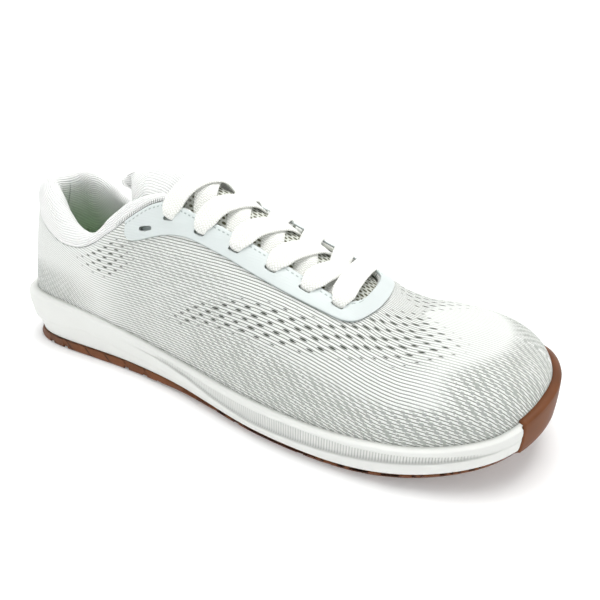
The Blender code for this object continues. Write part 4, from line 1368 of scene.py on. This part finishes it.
class SHOE_OT_tongue(bpy.types.Operator):
    """Pads the tongue, with a ribbed top and a mesh middle"""

    bl_idname = "shoe.tongue"
    bl_label = "Tongue"

    def execute(self, context):
        last = the_last()
        table = column(TONGUE, 0)
        curl_end = 0.31
        share = np.concatenate(
            [np.linspace(table[0], curl_end, 40)[:-1], np.linspace(curl_end, table[-1], 90)]
        )
        get = [steady_curve(table, column(TONGUE, k))(share) for k in range(1, 5)]
        edge_angle, middle_depth, edge_depth, thickness = get
        across = np.sin(np.linspace(-1, 1, 57) * QUARTER_TURN)
        side = np.where(across < 0, LATERAL, MEDIAL)
        angle = QUARTER_TURN * (1 - (1 - edge_angle[:, None]) * np.abs(across))
        grids = []
        for under in (0, 1):
            thin = 1 - 0.55 * across**4
            depth = middle_depth[:, None] + (edge_depth - middle_depth)[:, None] * across**2
            depth = (depth + under * thickness[:, None] * thin) * last.sizes.instep_height
            grids.append(last.layer(share[:, None], side, angle, depth))
        top, low = grids
        middle = (top + low) / 2
        roll = np.sqrt(np.clip(1 - np.abs(across) ** 6, 0, 1))[None, :, None]
        roll_end = np.sqrt(np.clip(1 - (1 - np.clip((share - table[0]) / 0.02, 0, 1)) ** 2, 0, 1))
        roll = roll * np.maximum(roll_end, 0.05)[:, None, None]
        top, low = middle + (top - middle) * roll, middle + (low - middle) * roll
        height, width = top.shape[:2]
        points = np.concatenate([top.reshape(-1, 3), low.reshape(-1, 3)])
        count = height * width
        faces = grid_faces(height, width)
        faces += [face[::-1] for face in grid_faces(height, width, start=count)]
        border = list(range(width))
        border += [i * width + width - 1 for i in range(1, height)]
        border += [(height - 1) * width + j for j in range(width - 2, -1, -1)]
        border += [i * width for i in range(height - 2, 0, -1)]
        for a, b in zip(border, border[1:] + border[:1]):
            faces.append([b, a, count + a, count + b])
        wide = run_along(top, 1)
        wide = (wide - wide[:, width // 2 : width // 2 + 1]) * 1000
        mesh_zone = smooth_step(np.broadcast_to(share[:, None], wide.shape), 0.405, 0.43)
        facts = {
            "across": np.concatenate([wide.ravel()] * 2),
            "along": points[:, 0] * 1000,
            "mesh": np.concatenate([mesh_zone.ravel()] * 2),
        }
        obj = mesh_object("padded_tongue", points, faces, facts)
        settle(obj, ["tongue"], tongue_finish())
        return {"FINISHED"}


class SHOE_OT_insole(bpy.types.Operator):
    """Lays the insole on the cup's floor"""

    bl_idname = "shoe.insole"
    bl_label = "Insole"

    def execute(self, context):
        last = the_last()
        share, side = ring(120)
        rows = []
        for inset, inward, rise in (
            (0.00, 1.00, 0.0),
            (0.00, 0.50, 0.0),
            (0.10, 0.00, 0.0),
            (0.00, 0.00, 0.3),
            (0.02, 0.00, 0.8),
            (0.15, 0.00, 0.95),
            (0.30, 0.03, 1.0),
            (0.00, 0.30, 1.0),
            (0.00, 0.65, 1.0),
            (0.00, 1.00, 1.0),
        ):

            def height(at, side, inward, rise=rise):
                return last.floor_under(at) + GAP + rise * INSOLE_THICKNESS

            inset = INSOLE_INSET + inset * INSOLE_THICKNESS
            rows.append(last.plan_row(share, side, inset, inward, height))
        grid = np.array(rows)
        faces = grid_faces(*grid.shape[:2], closed_across=True)
        obj = mesh_object("cloth_insole", grid.reshape(-1, 3), faces)
        settle(obj, ["insole"], insole_finish())
        return {"FINISHED"}


class SHOE_OT_midsole(bpy.types.Operator):
    """Moulds the foam cup with its crease, bead and ribbed band"""

    bl_idname = "shoe.midsole"
    bl_label = "Midsole"

    def execute(self, context):
        last = the_last()
        size = last.sizes
        shares, phase = rib_columns(last)
        share = np.concatenate([shares, shares[-2:0:-1]])
        side = np.concatenate([np.full(len(shares), LATERAL), np.full(len(shares) - 2, MEDIAL)])
        gap = np.concatenate([phase, phase[-2:0:-1]])
        get = [steady_curve(column(SIDE, 0), column(SIDE, k))(share) for k in range(1, 7)]
        crease, crease_depth, low, high, band_depth, bulge = get
        low_z, top_z = last.midsole_under(share, side), last.feather(share)
        retreat = np.clip((share - RAND_START) / (RAND_STEP * 0.4), 0, 1)
        one = np.ones_like(share)
        heights = np.array(
            [
                0 * one,
                crease * 0.45,
                crease * 0.94,
                crease * 1.04,
                low - 0.03,
                low,
                low + 0.02,
                high - 0.02,
                high,
                high + 0.03,
                0.5 * high + 0.5,
                0.97 * one,
                1.0 * one,
            ]
        )
        insets = np.array(
            [
                0.34 + crease_depth * 0.6,
                0.06 + crease_depth,
                0.04 + crease_depth,
                0.02 - bulge * 0.6,
                -bulge,
                band_depth * 0.15 - bulge,
                band_depth - bulge,
                band_depth - bulge * 0.8,
                band_depth * 0.3 - bulge * 0.7,
                0.03 - bulge * 0.6,
                0.05 - bulge * 0.4,
                0.16 * one,
                0.42 * one,
            ]
        )
        index = np.concatenate(
            [
                np.linspace(0, 4, 17)[:-1],
                np.linspace(4, 7, 13)[:-1],
                np.linspace(7, 12, 21),
            ]
        )
        rows, gaps = [], []
        for inward in (1.0, 0.6, 0.25):
            rows.append(last.plan_row(share, side, 0, inward, last.midsole_under))
            gaps.append(0 * one)
        hidden = RAND_WALL + GAP
        band_mask = smooth_step(band_depth, 0.18, 0.30) * (share < RAND_START)
        for at in index:
            k = min(int(at), 11)
            t = at - k
            height = heights[k] * (1 - t) + heights[k + 1] * t
            inset = (insets[k] * (1 - t) + insets[k + 1] * t) * size.foot_inset
            in_band = smooth_step(at, 5.2, 6.0) * smooth_step(-at, -7.9, -7.0) * band_mask
            inset = inset + size.rib_depth * gap * in_band
            inset = inset * (1 - retreat) + hidden * retreat
            rows.append(last.plan_row(share, side, inset, 0, low_z + (top_z - low_z) * height))
            gaps.append(gap * in_band)
        top = last.angle_at_height(share, last.feather(share))
        for part in (1, 0.5, 0):
            rows.append(last.layer(share, side, top * part, -CUP_GAP * 0.5))
            gaps.append(0 * one)
        rows[-1][:, 2] = last.floor_under(share)
        for inward in (0.3, 0.7, 1.0):
            rows.append(last.plan_row(share, side, size.foot_inset, inward, last.floor_under))
            gaps.append(0 * one)
        grid = np.array(rows)
        faces = grid_faces(*grid.shape[:2], closed_across=True)
        obj = mesh_object("foam_midsole", grid.reshape(-1, 3), faces, {"gap": np.array(gaps)})
        settle(obj, ["midsole"], foam_finish())
        return {"FINISHED"}


def rib_columns(last):
    """Columns round the sole: four to each rib where the side is ribbed, and how deep each lies."""
    fine = np.linspace(0, 1, 4000)
    at = share_of(fine)
    x, y = last.edge(at, np.full(at.shape, LATERAL), 0)
    arc = np.concatenate([[0], np.cumsum(np.hypot(np.diff(x), np.diff(y)))])
    start, stop = np.interp([RIB_START, RIB_END], at, arc)
    pitch = last.sizes.rib_pitch
    number = int((stop - start) / pitch)
    base = start + np.arange(number)[:, None] * pitch
    parts = base + np.array([0.0, 0.24, 0.5, 0.76]) * pitch
    depth = np.broadcast_to(np.array([1.0, 0.12, 0.0, 0.12]), parts.shape)
    before = np.interp(np.linspace(0, turn_of(RIB_START), 110), fine, arc)
    after = np.interp(np.linspace(turn_of(RIB_END), 1, 60), fine, arc)
    extra = np.interp([RAND_START, RAND_START + RAND_STEP * 0.4], at, arc)
    arcs = np.concatenate([before[:-1], parts.ravel(), after[after > parts.max() + 1e-4], extra])
    depths = np.concatenate(
        [0 * before[:-1], depth.ravel(), 0 * after[after > parts.max() + 1e-4], [0, 0]]
    )
    order = np.argsort(arcs)
    arcs, depths = arcs[order], depths[order]
    keep = np.concatenate([[True], np.diff(arcs) > 2e-5])
    return np.interp(arcs[keep], arc, at), depths[keep]


class SHOE_OT_outsole(bpy.types.Operator):
    """Moulds the gum outsole with its lugs and its rand over the toe"""

    bl_idname = "shoe.outsole"
    bl_label = "Outsole"

    def execute(self, context):
        last = the_last()
        size = last.sizes
        start = RAND_START + RAND_STEP * 0.5
        share, side = ring(240, [start, RAND_START + RAND_STEP])
        rise = np.clip((share - start) / (RAND_STEP * 0.5), 0, 1)
        plate, low = last.gum_top(share, side), last.ground(share, side)
        top = plate + (last.feather(share) + 2 * GAP - plate) * rise
        outer = 0.34 * size.foot_inset * (1 - rise)
        upright = 0.92 * (1 - smooth_step(share, 0.36, 0.52))
        inset_low = 0.88 * size.foot_inset * (1 - upright)
        inset_mid = 0.45 * size.foot_inset * (1 - upright)
        rows, under = [], []

        def add(inset, inward, height, flat=0.0):
            rows.append(last.plan_row(share, side, inset, inward, height))
            under.append(np.full(share.shape, flat))

        for inward in (1.0, 0.8, 0.6, 0.4, 0.2, 0.1):
            add(0, inward, last.ground, 1.0)
        add(inset_low + 0.0006, 0, low, 1.0)
        add(inset_low, 0, low + (plate - low) * 0.06)
        add(inset_mid, 0, low + (plate - low) * 0.30)
        side_top = plate - (plate - low) * 0.15
        for part in np.linspace(0, 1, 7):
            lean = 0.26 * part**2 * rise * size.foot_inset
            height = side_top + (top - side_top - 0.0004) * part
            add(outer + lean, 0, height)
        add(outer + (0.08 + 0.18 * rise) * size.foot_inset + 0.0002, 0, top)
        lip = RAND_WALL + 0.0026 * rise
        add(lip, 0, top + 0.0004 * rise)
        add(lip, 0, top - 0.0008 * rise)
        add(RAND_WALL, 0, top - 0.0010 * rise)
        add(RAND_WALL, 0, plate)
        for inward in (0.35, 0.7, 1.0):
            add(0, inward, last.gum_top)
        grid = np.array(rows)
        facts = {
            "under": np.array(under),
            "along": grid[..., 0] * 1000,
            "across": grid[..., 1] * 1000,
            "height": grid[..., 2] * 1000,
            "wall": (1 - np.array(under)) * (1 - smooth_step(share, 0.33, 0.38)),
        }
        faces = grid_faces(*grid.shape[:2], closed_across=True)
        obj = mesh_object("gum_outsole", grid.reshape(-1, 3), faces, facts)
        apply_cut(obj, groove_cutter(last), careful=True)
        settle(obj, ["outsole"], gum_finish())
        return {"FINISHED"}


def groove_cutter(last):
    """The gaps between the lugs."""
    size = last.sizes
    form = bmesh.new()
    for share, slant in GROOVES:
        rise = last.spring(share + 0.01) - last.spring(share - 0.01)
        slope = np.arctan2(rise, 0.02 * size.length)
        for side in (LATERAL, MEDIAL):
            x = size.length * share - size.heel_rest
            place = Matrix.Translation((x, 0, last.spring(share)))
            place = place @ Matrix.Rotation(-slope, 4, "Y")
            place = place @ Matrix.Rotation(np.radians(slant * -side), 4, "Z")
            block = Matrix.Diagonal((LUG_GROOVE, size.ball_width * 0.62, 2 * LUG_DEPTH, 1))
            shift = Matrix.Translation((0, side * size.ball_width * 0.36, 0))
            bmesh.ops.create_cube(form, size=1, matrix=place @ shift @ block)
    return cutter_object("groove_cutter", form)


def lace_mesh(name, last, start, finish_at, middle, tucked):
    """A flat woven lace that comes up out of its slot and crosses the throat.

    Middle is its height over the last half way. A tucked lace ends under the far edge of the
    throat, and the other kind goes down into the far slot.
    """
    size = last.sizes
    steps = np.linspace(0, 1, 60)
    (share_a, y_a), (share_b, y_b) = start, finish_at
    share, y = share_a + (share_b - share_a) * steps, y_a + (y_b - y_a) * steps
    side, angle = last.angle_at_width(share, y)
    centre, out = last.skin(share, side, angle), last.normal(share, side, angle)
    other = last.normal(share, -side, angle)
    blend = np.clip(1 - np.abs(y) / 0.008, 0, 1)[:, None] * 0.5
    out = out * (1 - blend) + other * blend
    out = unit(out)
    over_film, under_edge = 0.0021, -0.0031
    height = over_film + (middle - over_film) * smooth_step(steps, 0.12, 0.50)
    if tucked:
        height = height + (under_edge - middle) * smooth_step(steps, 0.62, 0.92)
    else:
        height = height + (over_film - middle) * smooth_step(steps, 0.50, 0.88)
    line = centre + out * height[:, None]
    inside = np.array([-0.0032, -0.0020, -0.0008, 0.0002, 0.0010, 0.0016])
    lean = np.array([0.0, 0.0, 0.00005, 0.00015, 0.0004, 0.0009])

    def rising(at, toward):
        way = toward / np.linalg.norm(toward)
        return centre[at] + out[at] * inside[:, None] + way * (lean + 0.0003)[:, None]

    keep = np.linalg.norm(centre - centre[0], axis=-1) > 0.0019
    if not tucked:
        keep &= np.linalg.norm(centre - centre[-1], axis=-1) > 0.0019
    head = rising(0, centre[3] - centre[0])
    pieces, outs = [head, line[keep]], [np.repeat(out[:1], 6, 0), out[keep]]
    if not tucked:
        pieces.append(rising(-1, centre[-4] - centre[-1])[::-1])
        outs.append(np.repeat(out[-1:], 6, 0))
    line, out = np.concatenate(pieces), np.concatenate(outs)
    along = np.gradient(line, axis=0)
    along = unit(along)
    travel = centre[-1] - centre[0]
    travel = travel / np.linalg.norm(travel)
    arc = run_along(line, 0)
    wide = smooth_step(arc, 0.0025, 0.0120)
    square = np.cross(out, travel)
    throat = np.array([1.0, 0.0, -0.42])
    aim = smooth_step(arc, 0.003, 0.014)
    if not tucked:
        wide = wide * smooth_step(arc[-1] - arc, 0.0025, 0.0120)
        aim = aim * smooth_step(arc[-1] - arc, 0.003, 0.014)
    throat = throat * np.sign(square[len(square) // 2] @ throat)
    side_way = throat * (1 - aim[:, None]) + square * aim[:, None]
    side_way = side_way - along * np.sum(side_way * along, -1, keepdims=True)
    side_way = unit(side_way)
    up = np.cross(along, side_way)
    width = size.lace_width * (0.52 + 0.48 * wide) / 2
    thick = size.lace_thickness * (1.20 - 0.20 * wide) / 2
    turns = np.linspace(0, 2 * np.pi, 28, endpoint=False)
    a = np.sign(np.cos(turns)) * np.abs(np.cos(turns)) ** 0.55
    b = np.sign(np.sin(turns)) * np.abs(np.sin(turns)) ** 0.62
    cup = 0.0004 * (np.abs(a) ** 2)[None, :, None] * np.sign(up[len(up) // 2, 2])
    grid = (
        line[:, None]
        + side_way[:, None] * (a[None, :] * width[:, None])[..., None]
        + up[:, None] * ((b[None, :] * thick[:, None])[..., None] - cup)
    )
    facts = {
        "across": np.broadcast_to(a * size.lace_width * 500, grid.shape[:2]),
        "along": np.broadcast_to(arc[:, None] * 1000, grid.shape[:2]),
    }
    faces = grid_faces(*grid.shape[:2], closed_across=True)
    count = grid.shape[1]
    faces.append(list(range(count))[::-1])
    faces.append([(len(line) - 1) * count + k for k in range(count)])
    return mesh_object(name, grid.reshape(-1, 3), faces, facts)


class SHOE_OT_laces(bpy.types.Operator):
    """Threads the flat laces through the slots, each over one edge and under the other"""

    bl_idname = "shoe.laces"
    bl_label = "Laces"

    def execute(self, context):
        last = the_last()
        finish = lace_finish()
        slots = [(share, half * last.sizes.ball_width) for share, half in SLOTS[1:]]
        share, half = slots[-1]
        bar = lace_mesh("toe_lace", last, (share, -half), (share, half), 0.0008, False)
        settle(bar, ["lace_bar"], finish)
        sags = (0.0013, -0.0002, -0.0004, -0.0004, -0.0002)
        for number, (here, ahead, sag) in enumerate(zip(slots, slots[1:], sags), 1):
            for way, side, middle in (("over", LATERAL, sag), ("under", MEDIAL, sag - 0.0016)):
                end_share, reach = here[0], here[1]
                for _ in range(4):
                    edge = last.top_line(end_share)
                    reach = abs(last.skin(end_share, -side, edge)[1]) + 0.0020
                    part = (here[1] + reach) / (here[1] + ahead[1])
                    end_share = here[0] + (ahead[0] - here[0]) * part
                obj = lace_mesh(
                    "lace_%s_%d" % (way, number),
                    last,
                    (here[0], side * here[1]),
                    (end_share, -side * reach),
                    middle,
                    True,
                )
                names = ["lace_cross_%d" % number] if way == "over" else []
                settle(obj, names, finish)
        return {"FINISHED"}


class SHOE_PT_panel(bpy.types.Panel):
    """The pieces of the shoe, their sizes and their colours"""

    bl_label = "Barefoot Shoe"
    bl_idname = "SHOE_PT_panel"
    bl_space_type = "VIEW_3D"
    bl_region_type = "UI"
    bl_category = "Shoe"

    def draw(self, context):
        for operator in OPERATORS:
            self.layout.operator(operator.bl_idname)
        for group in (context.scene.shoe_sizes, context.scene.shoe_colours):
            box = self.layout.box()
            for name in group.bl_rna.properties.keys():
                if name not in ("rna_type", "name"):
                    box.prop(group, name)


OPERATORS = (
    SHOE_OT_stage,
    SHOE_OT_upper,
    SHOE_OT_eyestay,
    SHOE_OT_collar,
    SHOE_OT_tongue,
    SHOE_OT_insole,
    SHOE_OT_midsole,
    SHOE_OT_outsole,
    SHOE_OT_laces,
)
CLASSES = (ShoeSizes, ShoeColours, *OPERATORS, SHOE_PT_panel)


def register():
    for one in CLASSES:
        bpy.utils.register_class(one)
    bpy.types.Scene.shoe_sizes = PointerProperty(type=ShoeSizes)
    bpy.types.Scene.shoe_colours = PointerProperty(type=ShoeColours)


def unregister():
    del bpy.types.Scene.shoe_colours
    del bpy.types.Scene.shoe_sizes
    for one in reversed(CLASSES):
        bpy.utils.unregister_class(one)


def main():
    register()
    bpy.ops.shoe.stage()
    bpy.ops.shoe.upper()
    bpy.ops.shoe.eyestay()
    bpy.ops.shoe.collar()
    bpy.ops.shoe.tongue()
    bpy.ops.shoe.insole()
    bpy.ops.shoe.midsole()
    bpy.ops.shoe.outsole()
    bpy.ops.shoe.laces()


if __name__ == "__main__":
    main()
